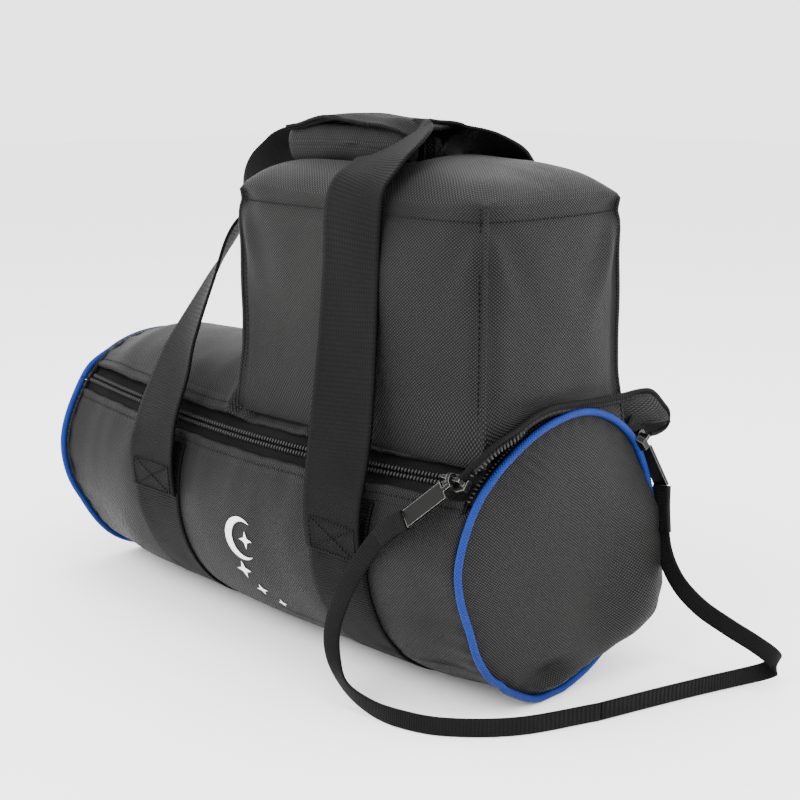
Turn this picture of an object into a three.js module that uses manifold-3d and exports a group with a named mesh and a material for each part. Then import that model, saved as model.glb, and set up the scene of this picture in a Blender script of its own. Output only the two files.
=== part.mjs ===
// A padded carry case for a short telescope: a lying drum for the optical tube, and a tall box on
// its lid for the mount and eyepieces. A zip runs along both long sides and round the near end, so
// the lid, with the box on it, turns up about the far end. Two webbing handles are stitched round
// the drum and meet over the box in a padded grip, and a flat ribbon joins the two zip pulls.
// Millimetres, +Z up, X along the drum, +X to the near end. The origin is under the middle.
import * as THREE from 'three';
import * as BufferGeometryUtils from 'three/addons/utils/BufferGeometryUtils.js';
import Module from 'manifold-3d';

// Driving dimensions
const GAP = 0.3;
const DRUM_RADIUS = 90;
const DRUM_CENTRE_Z = 87;
const DRUM_FAR_X = -200;
const DRUM_NEAR_X = 200;
const WRAP_THICKNESS = 8;
const UNDERSIDE_Z = 2.4;
const LID_NEAR_X = 197;
const LINING_THICKNESS = 1.2;

const ZIP_ANGLE = THREE.MathUtils.degToRad(39);
const ZIP_HALF_BAND = THREE.MathUtils.degToRad(9.5);
const COIL_WIDTH_ANGLE = THREE.MathUtils.degToRad(1.9);
const ZIP_HALF_GAP = THREE.MathUtils.degToRad(0.15);
const TAPE_RADIUS = 85.5;
const TAPE_THICKNESS = 1.4;
const COIL_RADIUS = 87.2;
const COIL_HEIGHT = 2.4;
const NEAR_TAPE_WIDTH = 2.7;
const NEAR_FOLD_REACH = 9.6;
const NEAR_FOLD_LIFT = 1.3;
const WELT_HEIGHT = 2.2;
const WELT_ANGLE = THREE.MathUtils.degToRad(5);

const END_PANEL_RADIUS = 85.4;
const END_PANEL_EDGE = 3;
const END_PANEL_BULGE = 8;
const END_PANEL_INSET = 22;
const PIPING_DIAMETER = 4.6;
const PIPING_RING_RADIUS = 88.6;

const BOX_FAR_X = -21;
const BOX_NEAR_X = 197;
const BOX_HALF_WIDTH = 59;
const BOX_WALL = 8;
const BOX_FOOT_Z = 163;
const BOX_FOOT_RADIUS = 90.6;
const BOX_SEAM_Z = 296;
const BOX_TOP_BULGE = 7;
const BOX_TOP_EDGE = 3;
const BOX_TOP_INSET = 24;

const WEBBING_WIDTH = 50;
const WEBBING_THICKNESS = 2;
const NEAR_STRAP_X = 107;
const FAR_STRAP_X = -82;
const HANDLE_ROOT_Z = 112;
const HANDLE_ROOT_Y = 92.2;

const GRIP_CENTRE_X = 37;
const GRIP_LENGTH = 132;
const GRIP_BOTTOM_Z = 310;
const GRIP_TOP_Z = 336;
const GRIP_HALF_WIDTH = 17;
const GRIP_WEBBING_Y = 4.2;
const GRIP_WEBBING_WIDTH = 23;
const FLAP_THICKNESS = 4;
const PAD_FAR_SETBACK = 4;
const PAD_NEAR_SETBACK = 10;

const SLIDER_LENGTH = 17;
const SLIDER_WIDTH = 11;
const SLIDER_HEIGHT = 4.4;
const SLIDER_RADIUS = 91.5;
const LEFT_SLIDER_X = 190;
const RIGHT_SLIDER_X = 203;
const BRIDGE_WIRE = 2.4;
const BRIDGE_RISE = 3.9;
const BRIDGE_LENGTH = 14;
const TAB_LENGTH = 30;
const TAB_NECK_WIDTH = 2.6;
const TAB_NECK_LENGTH = 4;
const TAB_WIDTH = 11;
const TAB_THICKNESS = 2;
const TAB_EYE_RADIUS = 3.4;

const RIBBON_WIDTH = 11;
const RIBBON_THICKNESS = 1.2;

const LEFT = Math.PI - ZIP_ANGLE;
const RIGHT = ZIP_ANGLE;
const FULL_TURN = 2 * Math.PI;

// Further than any piece reaches from the origin, for blocks that cut a piece by a plane.
const CLEAR = 500;
const SPLIT_Z = DRUM_CENTRE_Z + DRUM_RADIUS * Math.sin(ZIP_ANGLE);

// Materials
const nylon = new THREE.MeshStandardMaterial({ color: 0x3b3a3a, roughness: 0.8, metalness: 0 });
const webbing = new THREE.MeshStandardMaterial({ color: 0x232324, roughness: 0.85, metalness: 0 });
const lining = new THREE.MeshStandardMaterial({ color: 0x1b1b1d, roughness: 0.9, metalness: 0 });
const blueCord = new THREE.MeshStandardMaterial({ color: 0x1450be, roughness: 0.7, metalness: 0 });
const zipTape = new THREE.MeshStandardMaterial({ color: 0x161617, roughness: 0.9, metalness: 0 });
const zipCoil = new THREE.MeshStandardMaterial({ color: 0x1d1d1f, roughness: 0.4, metalness: 0 });
const blackMetal = new THREE.MeshStandardMaterial({ color: 0x1c1c1e, roughness: 0.35, metalness: 0.8 });

const object = new THREE.Group();

function addMesh(name, geometry, material, parent = object) {
  const mesh = new THREE.Mesh(geometry, material);
  mesh.name = name;
  parent.add(mesh);
  return mesh;
}

// Booleans: a three.js geometry to a solid and back.
const wasm = await Module();
wasm.setup();

function solidOf(geometry) {
  const plain = geometry.clone();
  plain.deleteAttribute('normal');
  plain.deleteAttribute('uv');
  const merged = BufferGeometryUtils.mergeVertices(plain, 1e-4);
  const vertProperties = new Float32Array(merged.attributes.position.array);
  const triVerts = new Uint32Array(merged.index.array);
  return new wasm.Manifold(new wasm.Mesh({ numProp: 3, vertProperties, triVerts }));
}

function geometryOf(solid) {
  const mesh = solid.getMesh();
  const geometry = new THREE.BufferGeometry();
  geometry.setAttribute('position', new THREE.BufferAttribute(new Float32Array(mesh.vertProperties), 3));
  geometry.setIndex(new THREE.BufferAttribute(new Uint32Array(mesh.triVerts), 1));
  geometry.computeVertexNormals();
  return geometry;
}

// A box between two corners.
function blockBetween(low, high) {
  const size = high.map((value, axis) => value - low[axis]);
  const geometry = new THREE.BoxGeometry(...size);
  geometry.translate(...high.map((value, axis) => (value + low[axis]) / 2));
  return geometry;
}

// A shape drawn in Y and Z, extruded from x0 to x1.
const ALONG_X = new THREE.Matrix4().makeBasis(
  new THREE.Vector3(0, 1, 0),
  new THREE.Vector3(0, 0, 1),
  new THREE.Vector3(1, 0, 0),
);

function extrudeAlongX(shape, x0, x1) {
  const geometry = new THREE.ExtrudeGeometry(shape, { depth: x1 - x0, bevelEnabled: false });
  geometry.applyMatrix4(ALONG_X);
  geometry.translate(x0, 0, 0);
  return geometry;
}

// A cushion panel: flat at the back, rounded over at the front by a quarter ellipse.
function cushionGeometry(shape, edge, bulge, inset) {
  const options = {
    depth: edge,
    bevelThickness: bulge,
    bevelSize: inset,
    bevelOffset: -inset,
    bevelSegments: 4,
  };
  const rounded = solidOf(new THREE.ExtrudeGeometry(shape, options));
  const front = solidOf(blockBetween([-CLEAR, -CLEAR, 0], [CLEAR, CLEAR, CLEAR]));
  return geometryOf(rounded.intersect(front));
}

// A point of the drum's cross-section (Y, Z), where the underside lies flat on its straps.
function sectionPoint(radius, angle) {
  const flat = UNDERSIDE_Z + DRUM_RADIUS - radius;
  const z = DRUM_CENTRE_Z + radius * Math.sin(angle);
  return new THREE.Vector2(radius * Math.cos(angle), Math.max(z, flat));
}

// A band of the drum's wall between two radii and two angles.
function wallShape(innerRadius, outerRadius, startAngle, endAngle) {
  const steps = Math.max(2, Math.ceil((endAngle - startAngle) / THREE.MathUtils.degToRad(7.5)));
  const step = (endAngle - startAngle) / steps;
  const angles = Array.from({ length: steps + 1 }, (_, i) => startAngle + step * i);
  const outer = angles.map((angle) => sectionPoint(outerRadius, angle));
  const inner = angles.map((angle) => sectionPoint(innerRadius, angle)).reverse();
  return new THREE.Shape([...outer, ...inner]);
}

function endPanelShape() {
  const steps = 48;
  const step = FULL_TURN / steps;
  const points = Array.from({ length: steps }, (_, i) => sectionPoint(END_PANEL_RADIUS, step * i));
  return new THREE.Shape(points);
}

// The route of the piping: an arc of the drum's cross-section.
class SectionArc extends THREE.Curve {
  constructor(radius, startAngle, endAngle, x) {
    super();
    Object.assign(this, { radius, startAngle, endAngle, x });
  }

  getPoint(t, target = new THREE.Vector3()) {
    const point = sectionPoint(this.radius, this.startAngle + (this.endAngle - this.startAngle) * t);
    return target.set(this.x, point.x, point.y);
  }
}

function pipingGeometry(startAngle, endAngle, x, steps) {
  const extrudePath = new SectionArc(PIPING_RING_RADIUS, startAngle, endAngle, x);
  const sides = 8;
  const corners = Array.from({ length: sides }, (_, i) => {
    const angle = FULL_TURN * i / sides;
    return new THREE.Vector2(Math.cos(angle), Math.sin(angle)).multiplyScalar(PIPING_DIAMETER / 2);
  });
  return new THREE.ExtrudeGeometry(new THREE.Shape(corners), { steps, extrudePath, bevelEnabled: false });
}

// A flat strip bent along a route. Each station is a centre point, the direction of the strip's
// width, and its width there; the stations are joined by smooth curves.
function stripGeometry(stations, thickness, steps) {
  const centres = stations.map((s) => new THREE.Vector3(...s.at));
  const route = new THREE.CatmullRomCurve3(centres, false, 'centripetal');
  const across = new THREE.CatmullRomCurve3(stations.map((s) => new THREE.Vector3(...s.across)));
  const strip = new THREE.BoxGeometry(1, 1, 1, steps, 1, 1);
  const position = strip.attributes.position;
  const last = stations.length - 1;
  for (let i = 0; i < position.count; i += 1) {
    const t = position.getX(i) + 0.5;
    const index = Math.min(Math.floor(t * last), last - 1);
    const width = THREE.MathUtils.lerp(stations[index].width, stations[index + 1].width, t * last - index);
    const tangent = route.getTangent(t);
    const side = across.getPoint(t);
    side.addScaledVector(tangent, -side.dot(tangent)).normalize();
    const normal = new THREE.Vector3().crossVectors(tangent, side);
    const point = route.getPoint(t);
    point.addScaledVector(side, position.getY(i) * width);
    point.addScaledVector(normal, position.getZ(i) * thickness);
    position.setXYZ(i, point.x, point.y, point.z);
  }
  return strip;
}

// The drum: its wrap and lining run from the left zip round the underside to the right zip.
const wrapStart = LEFT + ZIP_HALF_BAND;
const wrapEnd = FULL_TURN + RIGHT - ZIP_HALF_BAND;
const wrapInnerRadius = DRUM_RADIUS - WRAP_THICKNESS;
const liningOuterRadius = wrapInnerRadius - GAP;
const liningInnerRadius = liningOuterRadius - LINING_THICKNESS;

function addDrum() {
  const wrap = wallShape(wrapInnerRadius, DRUM_RADIUS, wrapStart, wrapEnd);
  addMesh('drum_wrap', extrudeAlongX(wrap, DRUM_FAR_X, DRUM_NEAR_X), nylon);
  const skin = wallShape(liningInnerRadius, liningOuterRadius, wrapStart, wrapEnd);
  addMesh('drum_lining', extrudeAlongX(skin, DRUM_FAR_X, DRUM_NEAR_X), lining);
  addMesh('left_lower_welt', weltGeometry(wrapStart, wrapStart + WELT_ANGLE, DRUM_NEAR_X), nylon);
  addMesh('right_lower_welt', weltGeometry(wrapEnd - WELT_ANGLE, wrapEnd, DRUM_NEAR_X), nylon);
}

// A folded edge of fabric beside the zip, lying on the wrap.
function weltGeometry(startAngle, endAngle, nearX) {
  const shape = wallShape(DRUM_RADIUS + GAP, DRUM_RADIUS + WELT_HEIGHT, startAngle, endAngle);
  return extrudeAlongX(shape, DRUM_FAR_X, nearX);
}

// The end panels bulge outward. The far one is split level with the zips, where it folds.
function addEndPanels() {
  const near = cushionGeometry(endPanelShape(), END_PANEL_EDGE, END_PANEL_BULGE, END_PANEL_INSET);
  near.applyMatrix4(ALONG_X);
  near.translate(DRUM_NEAR_X + GAP, 0, 0);
  addMesh('near_end_panel', near, nylon);

  const mirrored = endPanelShape().getPoints().map((point) => new THREE.Vector2(-point.x, point.y));
  const far = cushionGeometry(new THREE.Shape(mirrored), END_PANEL_EDGE, END_PANEL_BULGE, END_PANEL_INSET);
  far.applyMatrix4(ALONG_X);
  far.rotateZ(Math.PI);
  far.translate(DRUM_FAR_X - GAP, 0, 0);
  const whole = solidOf(far);
  const below = solidOf(blockBetween([-CLEAR, -CLEAR, -CLEAR], [0, CLEAR, SPLIT_Z - GAP / 2]));
  const above = solidOf(blockBetween([-CLEAR, -CLEAR, SPLIT_Z + GAP / 2], [0, CLEAR, CLEAR]));
  addMesh('far_end_panel_lower', geometryOf(whole.intersect(below)), nylon);
  addMesh('far_end_panel_upper', geometryOf(whole.intersect(above)), nylon);
}

// Blue piping closes the seam round each end. The near ring has its join at the lower left.
function addPiping() {
  const join = THREE.MathUtils.degToRad(232);
  const joinGap = THREE.MathUtils.degToRad(0.4);
  const nearX = DRUM_NEAR_X + GAP + PIPING_DIAMETER / 2;
  const farX = DRUM_FAR_X - GAP - PIPING_DIAMETER / 2;
  addMesh('near_piping', pipingGeometry(join + joinGap, join + FULL_TURN - joinGap, nearX, 56), blueCord);
  const splitAngle = Math.asin((SPLIT_Z - DRUM_CENTRE_Z) / PIPING_RING_RADIUS);
  const clear = THREE.MathUtils.degToRad(1.9);
  const lowerStart = Math.PI - splitAngle + clear;
  const lowerEnd = FULL_TURN + splitAngle - clear;
  addMesh('far_piping_lower', pipingGeometry(lowerStart, lowerEnd, farX, 40), blueCord);
  const upper = pipingGeometry(splitAngle + clear, Math.PI - splitAngle - clear, farX, 18);
  addMesh('far_piping_upper', upper, blueCord);
}

// The long zips: each half is a tape sewn under the wrap's edge, with a coil of teeth on it.
function addLongZip(side, centreAngle, lowerSign) {
  const halves = { lower: lowerSign, upper: -lowerSign };
  for (const [half, sign] of Object.entries(halves)) {
    const nearX = half === 'lower' ? DRUM_NEAR_X - 0.5 : LID_NEAR_X;
    const reach = (near, far) => [centreAngle + sign * near, centreAngle + sign * far].sort((a, b) => a - b);
    const tape = reach(ZIP_HALF_GAP, ZIP_HALF_BAND - ZIP_HALF_GAP);
    const tapeShape = wallShape(TAPE_RADIUS, TAPE_RADIUS + TAPE_THICKNESS, ...tape);
    addMesh(`${side}_${half}_zip_tape`, extrudeAlongX(tapeShape, DRUM_FAR_X, nearX), zipTape);
    const coil = reach(ZIP_HALF_GAP, COIL_WIDTH_ANGLE);
    const coilShape = wallShape(COIL_RADIUS, COIL_RADIUS + COIL_HEIGHT, ...coil);
    addMesh(`${side}_${half}_zip_coil`, extrudeAlongX(coilShape, DRUM_FAR_X, nearX), zipCoil);
  }
}

// The zip across the near end stands open: its lower half stands up inside the piping, and its
// upper half reaches from the lid's near edge out over the end panel.
function addNearZip() {
  const lowerX = DRUM_NEAR_X - NEAR_TAPE_WIDTH;
  const start = RIGHT + ZIP_HALF_BAND;
  const end = LEFT - ZIP_HALF_BAND;
  const lowerTape = wallShape(TAPE_RADIUS - TAPE_THICKNESS, TAPE_RADIUS, start, end);
  addMesh('near_lower_zip_tape', extrudeAlongX(lowerTape, lowerX, DRUM_NEAR_X), zipTape);
  const lowerCoil = wallShape(TAPE_RADIUS + GAP, TAPE_RADIUS + COIL_HEIGHT, start, end);
  addMesh('near_lower_zip_coil', extrudeAlongX(lowerCoil, lowerX, DRUM_NEAR_X), zipCoil);
  const corner = THREE.MathUtils.degToRad(4.5);
  const foldRadius = DRUM_RADIUS + NEAR_FOLD_LIFT;
  const tapeEnd = LID_NEAR_X + NEAR_FOLD_REACH;
  const upperTape = wallShape(foldRadius, foldRadius + TAPE_THICKNESS, RIGHT + corner, LEFT - corner);
  addMesh('near_upper_zip_tape', extrudeAlongX(upperTape, LID_NEAR_X + GAP, tapeEnd), zipTape);
  const upperCoil = wallShape(foldRadius, foldRadius + COIL_HEIGHT, RIGHT + corner, LEFT - corner);
  addMesh('near_upper_zip_coil', extrudeAlongX(upperCoil, tapeEnd + GAP, tapeEnd + NEAR_TAPE_WIDTH), zipCoil);
}

// The lid is the top of the drum, cut out under the box.
function addLid() {
  const start = RIGHT + ZIP_HALF_BAND;
  const end = LEFT - ZIP_HALF_BAND;
  const innerHalf = BOX_HALF_WIDTH - BOX_WALL - GAP;
  const well = solidOf(blockBetween(
    [BOX_FAR_X + BOX_WALL + GAP, -innerHalf, SPLIT_Z - 20],
    [BOX_NEAR_X - BOX_WALL - GAP, innerHalf, SPLIT_Z + 60],
  ));
  const wrap = extrudeAlongX(wallShape(wrapInnerRadius, DRUM_RADIUS, start, end), DRUM_FAR_X, LID_NEAR_X);
  addMesh('lid_wrap', geometryOf(solidOf(wrap).subtract(well)), nylon);
  const skinShape = wallShape(liningInnerRadius, liningOuterRadius, start, end);
  const skin = extrudeAlongX(skinShape, DRUM_FAR_X, LID_NEAR_X);
  addMesh('lid_lining', geometryOf(solidOf(skin).subtract(well)), lining);
  addMesh('left_upper_welt', weltGeometry(end - WELT_ANGLE, end, LID_NEAR_X), nylon);
  addMesh('right_upper_welt', weltGeometry(start, start + WELT_ANGLE, LID_NEAR_X), nylon);
}

// The box: four padded walls standing on the lid, the end ones cut to its curve, and a crowned
// padded top.
function addBox() {
  const inner = BOX_HALF_WIDTH - BOX_WALL;
  const side = (y0, y1) => blockBetween([BOX_FAR_X, y0, BOX_FOOT_Z], [BOX_NEAR_X, y1, BOX_SEAM_Z]);
  addMesh('box_left_panel', side(-BOX_HALF_WIDTH, -inner), nylon);
  addMesh('box_right_panel', side(inner, BOX_HALF_WIDTH), nylon);
  const between = inner - GAP;
  const footAngle = Math.acos(between / BOX_FOOT_RADIUS);
  const end = new THREE.Shape();
  end.moveTo(between, BOX_SEAM_Z);
  end.lineTo(-between, BOX_SEAM_Z);
  end.absarc(0, DRUM_CENTRE_Z, BOX_FOOT_RADIUS, Math.PI - footAngle, footAngle, true);
  addMesh('box_far_panel', extrudeAlongX(end, BOX_FAR_X, BOX_FAR_X + BOX_WALL), nylon);
  addMesh('box_near_panel', extrudeAlongX(end, BOX_NEAR_X - BOX_WALL, BOX_NEAR_X), nylon);

  const outline = new THREE.Shape([
    new THREE.Vector2(BOX_FAR_X, -BOX_HALF_WIDTH),
    new THREE.Vector2(BOX_NEAR_X, -BOX_HALF_WIDTH),
    new THREE.Vector2(BOX_NEAR_X, BOX_HALF_WIDTH),
    new THREE.Vector2(BOX_FAR_X, BOX_HALF_WIDTH),
  ]);
  const top = cushionGeometry(outline, BOX_TOP_EDGE, BOX_TOP_BULGE, BOX_TOP_INSET);
  top.translate(0, 0, BOX_SEAM_Z + GAP);
  addMesh('box_top_panel', top, nylon);
}

// Webbing sewn round the underside, from one handle's root to the other's.
function addBaseStraps() {
  const root = Math.asin((HANDLE_ROOT_Z - 2 - DRUM_CENTRE_Z) / DRUM_RADIUS);
  const shape = wallShape(DRUM_RADIUS + GAP, DRUM_RADIUS + UNDERSIDE_Z, Math.PI - root, FULL_TURN + root);
  const half = WEBBING_WIDTH / 2;
  addMesh('near_base_strap', extrudeAlongX(shape, NEAR_STRAP_X - half, NEAR_STRAP_X + half), webbing);
  addMesh('far_base_strap', extrudeAlongX(shape, FAR_STRAP_X - half, FAR_STRAP_X + half), webbing);
}

// A handle: one length of webbing from the far root, up and through the grip, to the near root.
// The side is -1 for the left handle and +1 for the right one.
function handleStations(side) {
  const gripZ = (GRIP_TOP_Z + GRIP_BOTTOM_Z) / 2;
  const gripY = side * GRIP_WEBBING_Y;
  const station = (x, y, z, across, width) => ({ at: [x, side * y, z], across, width });
  const alongX = [1, 0, 0];
  return [
    station(FAR_STRAP_X, HANDLE_ROOT_Y, HANDLE_ROOT_Z, alongX, WEBBING_WIDTH),
    station(FAR_STRAP_X + 1, 86.5, 143, alongX, WEBBING_WIDTH),
    station(-76, 69, 190, [0.97, side * 0.2, 0], 49),
    station(-68, 46, 232, [0.9, side * 0.4, -0.1], 46),
    station(-58, 29, 268, [0.75, side * 0.5, -0.4], 40),
    station(-48, 15, 299, [0.4, side * 0.4, -0.8], 32),
    station(-38, 7.5, 316, [0.1, side * 0.1, -1], 24),
    ...[-64, -54, 0, 46, 58].map((x) => (
      { at: [GRIP_CENTRE_X + x, gripY, gripZ], across: [0, 0, -1], width: GRIP_WEBBING_WIDTH }
    )),
    station(105, 8.5, 323, [0, side * 0.15, -1], 24),
    station(109, 20, 321, [-0.4, side * 0.5, -0.7], 32),
    station(103, 37, 316, [-0.95, side * 0.1, -0.2], 44),
    station(97, 54, 309, [-1, 0, 0], WEBBING_WIDTH),
    station(95, 63.5, 292, [-1, 0, 0], WEBBING_WIDTH),
    station(95, 65, 255, [-1, 0, 0], WEBBING_WIDTH),
    station(99, 75, 195, [-1, 0, 0], WEBBING_WIDTH),
    station(104, 87, 143, [-1, 0, 0], WEBBING_WIDTH),
    station(NEAR_STRAP_X, HANDLE_ROOT_Y, HANDLE_ROOT_Z, [-1, 0, 0], WEBBING_WIDTH),
  ];
}

function addHandles() {
  const sides = { left: -1, right: 1 };
  for (const [name, side] of Object.entries(sides)) {
    addMesh(`${name}_handle_webbing`, stripGeometry(handleStations(side), WEBBING_THICKNESS, 56), webbing);
    const inner = side * (GRIP_WEBBING_Y + WEBBING_THICKNESS / 2 + GAP);
    const outer = side * GRIP_HALF_WIDTH;
    const x0 = GRIP_CENTRE_X - GRIP_LENGTH / 2 + PAD_FAR_SETBACK;
    const x1 = GRIP_CENTRE_X + GRIP_LENGTH / 2 - PAD_NEAR_SETBACK;
    const bow = (GRIP_TOP_Z - GRIP_BOTTOM_Z) / 2;
    const shape = new THREE.Shape();
    shape.moveTo(inner, GRIP_BOTTOM_Z);
    shape.quadraticCurveTo(outer, GRIP_BOTTOM_Z, outer, GRIP_BOTTOM_Z + bow);
    shape.quadraticCurveTo(outer, GRIP_TOP_Z, inner, GRIP_TOP_Z);
    addMesh(`${name}_grip_pad`, extrudeAlongX(shape, x0, x1), webbing);
  }
  const flapLow = [GRIP_CENTRE_X - GRIP_LENGTH / 2, -GRIP_HALF_WIDTH, GRIP_TOP_Z + GAP];
  const flapHigh = [GRIP_CENTRE_X + GRIP_LENGTH / 2, GRIP_HALF_WIDTH, GRIP_TOP_Z + GAP + FLAP_THICKNESS];
  addMesh('grip_flap', blockBetween(flapLow, flapHigh), webbing);
}

// A slider: a tapered body over the teeth, with a wire bridge. Its own X runs along the zip and
// its own Z points out of the drum.
function sliderGeometry() {
  const half = SLIDER_LENGTH / 2;
  const nose = SLIDER_WIDTH * 0.36;
  const outline = new THREE.Shape();
  outline.moveTo(-half, -nose);
  outline.lineTo(half * 0.5, -SLIDER_WIDTH / 2);
  outline.lineTo(half, -SLIDER_WIDTH * 0.3);
  outline.lineTo(half, SLIDER_WIDTH * 0.3);
  outline.lineTo(half * 0.5, SLIDER_WIDTH / 2);
  outline.lineTo(-half, nose);
  outline.closePath();
  const body = new THREE.ExtrudeGeometry(outline, { depth: SLIDER_HEIGHT, bevelEnabled: false });
  const reach = BRIDGE_LENGTH / 2;
  const wire = BRIDGE_WIRE / 2;
  const top = SLIDER_HEIGHT + BRIDGE_RISE + wire;
  const crossbar = blockBetween([-reach, -wire, SLIDER_HEIGHT + BRIDGE_RISE - wire], [reach, wire, top]);
  const farLeg = blockBetween([-reach, -wire, SLIDER_HEIGHT - 1], [-reach + BRIDGE_WIRE, wire, top]);
  const nearLeg = blockBetween([reach - BRIDGE_WIRE, -wire, SLIDER_HEIGHT - 1], [reach, wire, top]);
  return geometryOf(solidOf(body).add(solidOf(crossbar)).add(solidOf(farLeg)).add(solidOf(nearLeg)));
}

// A pull tab: a flat plate on a neck, hanging from an eye round the bridge. The eye is at the
// origin, round its own X; the plate runs down its own Z, turned in its plane by the lean.
function pullTabGeometry(lean) {
  const hole = BRIDGE_WIRE / 2 + 0.9;
  const ring = new THREE.Shape();
  ring.absarc(0, 0, TAB_EYE_RADIUS, 0, FULL_TURN, false);
  const opening = new THREE.Path();
  opening.absarc(0, 0, hole, 0, FULL_TURN, true);
  ring.holes.push(opening);
  const eye = new THREE.ExtrudeGeometry(ring, { depth: BRIDGE_WIRE, bevelEnabled: false, curveSegments: 12 });
  eye.applyMatrix4(ALONG_X);
  eye.translate(-BRIDGE_WIRE / 2, 0, 0);
  const slab = (width, start, end) => {
    const low = [-width / 2, -TAB_THICKNESS / 2, start];
    const high = [width / 2, TAB_THICKNESS / 2, end];
    return solidOf(blockBetween(low, high).rotateY(lean).translate(0, 0, TAB_EYE_RADIUS + 1));
  };
  const neck = slab(TAB_NECK_WIDTH, -1.5, TAB_NECK_LENGTH + 1);
  const plate = slab(TAB_WIDTH, TAB_NECK_LENGTH, TAB_NECK_LENGTH + TAB_LENGTH);
  return geometryOf(solidOf(eye).add(neck).add(plate));
}

function sliderGroup(x, angle) {
  const group = new THREE.Group();
  const point = sectionPoint(SLIDER_RADIUS, angle);
  group.position.set(x, point.x, point.y);
  group.rotation.x = angle - Math.PI / 2;
  return group;
}

// The middle of a slider's bridge, which its pull tab swings about.
function bridgeCentre(x, angle) {
  const point = sectionPoint(SLIDER_RADIUS + SLIDER_HEIGHT + BRIDGE_RISE, angle);
  return new THREE.Vector3(x, point.x, point.y);
}

// A tab hangs beside the drum, a little outward. The side is -1 on the left and +1 on the right.
function tabGroup(centre, side) {
  const along = new THREE.Vector3(0, side * 0.433, -0.901);
  const face = new THREE.Vector3(0, side * 0.901, 0.433);
  const across = new THREE.Vector3().crossVectors(face, along);
  const group = new THREE.Group();
  group.matrix.makeBasis(across, face, along);
  group.matrix.decompose(group.position, group.quaternion, group.scale);
  group.position.copy(centre);
  return group;
}

const LEFT_TAB_LEAN = THREE.MathUtils.degToRad(-43);
const RIGHT_TAB_LEAN = THREE.MathUtils.degToRad(-10);

function addSliders() {
  const leftSlider = sliderGroup(LEFT_SLIDER_X, LEFT);
  const rightSlider = sliderGroup(RIGHT_SLIDER_X, RIGHT);
  addMesh('left_slider', sliderGeometry(), blackMetal, leftSlider);
  addMesh('right_slider', sliderGeometry(), blackMetal, rightSlider);
  const leftTab = tabGroup(bridgeCentre(LEFT_SLIDER_X, LEFT), -1);
  const rightTab = tabGroup(bridgeCentre(RIGHT_SLIDER_X, RIGHT), 1);
  addMesh('left_pull_tab', pullTabGeometry(LEFT_TAB_LEAN), blackMetal, leftTab);
  addMesh('right_pull_tab', pullTabGeometry(RIGHT_TAB_LEAN), blackMetal, rightTab);
  object.add(leftSlider, rightSlider, leftTab, rightTab);
}

// The ribbon joins the two tabs. It falls from the left tab, lies on its edge in a loop in front
// of the near end, and rises to the right tab. Points are its middle line and its width direction.
const RIBBON_LEFT_ROUTE = [
  { at: [166.2, -90.6, 123], across: [0.75, 0.1, -0.6] },
  { at: [150, -93.5, 111], across: [0.7, 0.3, -0.6] },
  { at: [130, -98, 82], across: [0.85, 0.3, -0.4] },
  { at: [117, -101, 52], across: [0.95, 0.25, -0.1] },
  { at: [116, -102, 31], across: [0.9, 0.2, 0.3] },
  { at: [126, -102, 14], across: [0.6, -0.3, 0.75] },
  { at: [146, -101, 6.6], across: [0.1, -0.2, 1] },
  { at: [170, -99, 6], across: [0, 0, 1] },
  { at: [197, -87, 6], across: [0, 0, 1] },
  { at: [225, -56, 6], across: [0, 0, 1] },
  { at: [245, -8, 6], across: [0, 0, 1] },
];
const RIBBON_RIGHT_ROUTE = [
  { at: [245.1, -7.7, 6], across: [0, 0, 1] },
  { at: [256, 32, 6], across: [0, 0, 1] },
  { at: [266.5, 68, 6], across: [0, 0, 1] },
  { at: [275.5, 92.5, 6.6], across: [0, 0.1, 1] },
  { at: [284, 106, 9.2], across: [0.1, 0.3, 0.95] },
  { at: [289.5, 108.5, 14.5], across: [0.1, 0.4, 0.9] },
  { at: [288.5, 103.5, 21.5], across: [0.2, 0.4, 0.9] },
  { at: [280, 97, 29], across: [0.3, 0.3, 0.9] },
  { at: [264, 92, 36.5], across: [0.3, 0.4, 0.8] },
  { at: [245, 89, 45], across: [0.5, 0.4, 0.7] },
  { at: [228, 88.8, 57], across: [0.7, 0.2, 0.5] },
  { at: [216.5, 90, 74], across: [0.9, 0.1, 0.3] },
  { at: [211.5, 91.8, 95], across: [1, 0, 0.15] },
  { at: [209.1, 94.2, 115], across: [1, 0, 0.1] },
];

function addRibbon() {
  const width = RIBBON_WIDTH;
  const left = RIBBON_LEFT_ROUTE.map((station) => ({ ...station, width }));
  const right = RIBBON_RIGHT_ROUTE.map((station) => ({ ...station, width }));
  addMesh('ribbon_left', stripGeometry(left, RIBBON_THICKNESS, 40), webbing);
  addMesh('ribbon_right', stripGeometry(right, RIBBON_THICKNESS, 40), webbing);
}

addDrum();
addEndPanels();
addPiping();
addLongZip('left', LEFT, 1);
addLongZip('right', RIGHT, -1);
addNearZip();
addLid();
addBox();
addBaseStraps();
addHandles();
addSliders();
addRibbon();

export default object;
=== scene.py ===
# A padded telescope carry case: a lying nylon drum with a tall box on its zip-round lid, webbing
# handles joined in a grip, and a ribbon between the two zip pulls. Everything is in metres.
import math

import bmesh
import bpy
from mathutils import Matrix, Vector, noise


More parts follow.
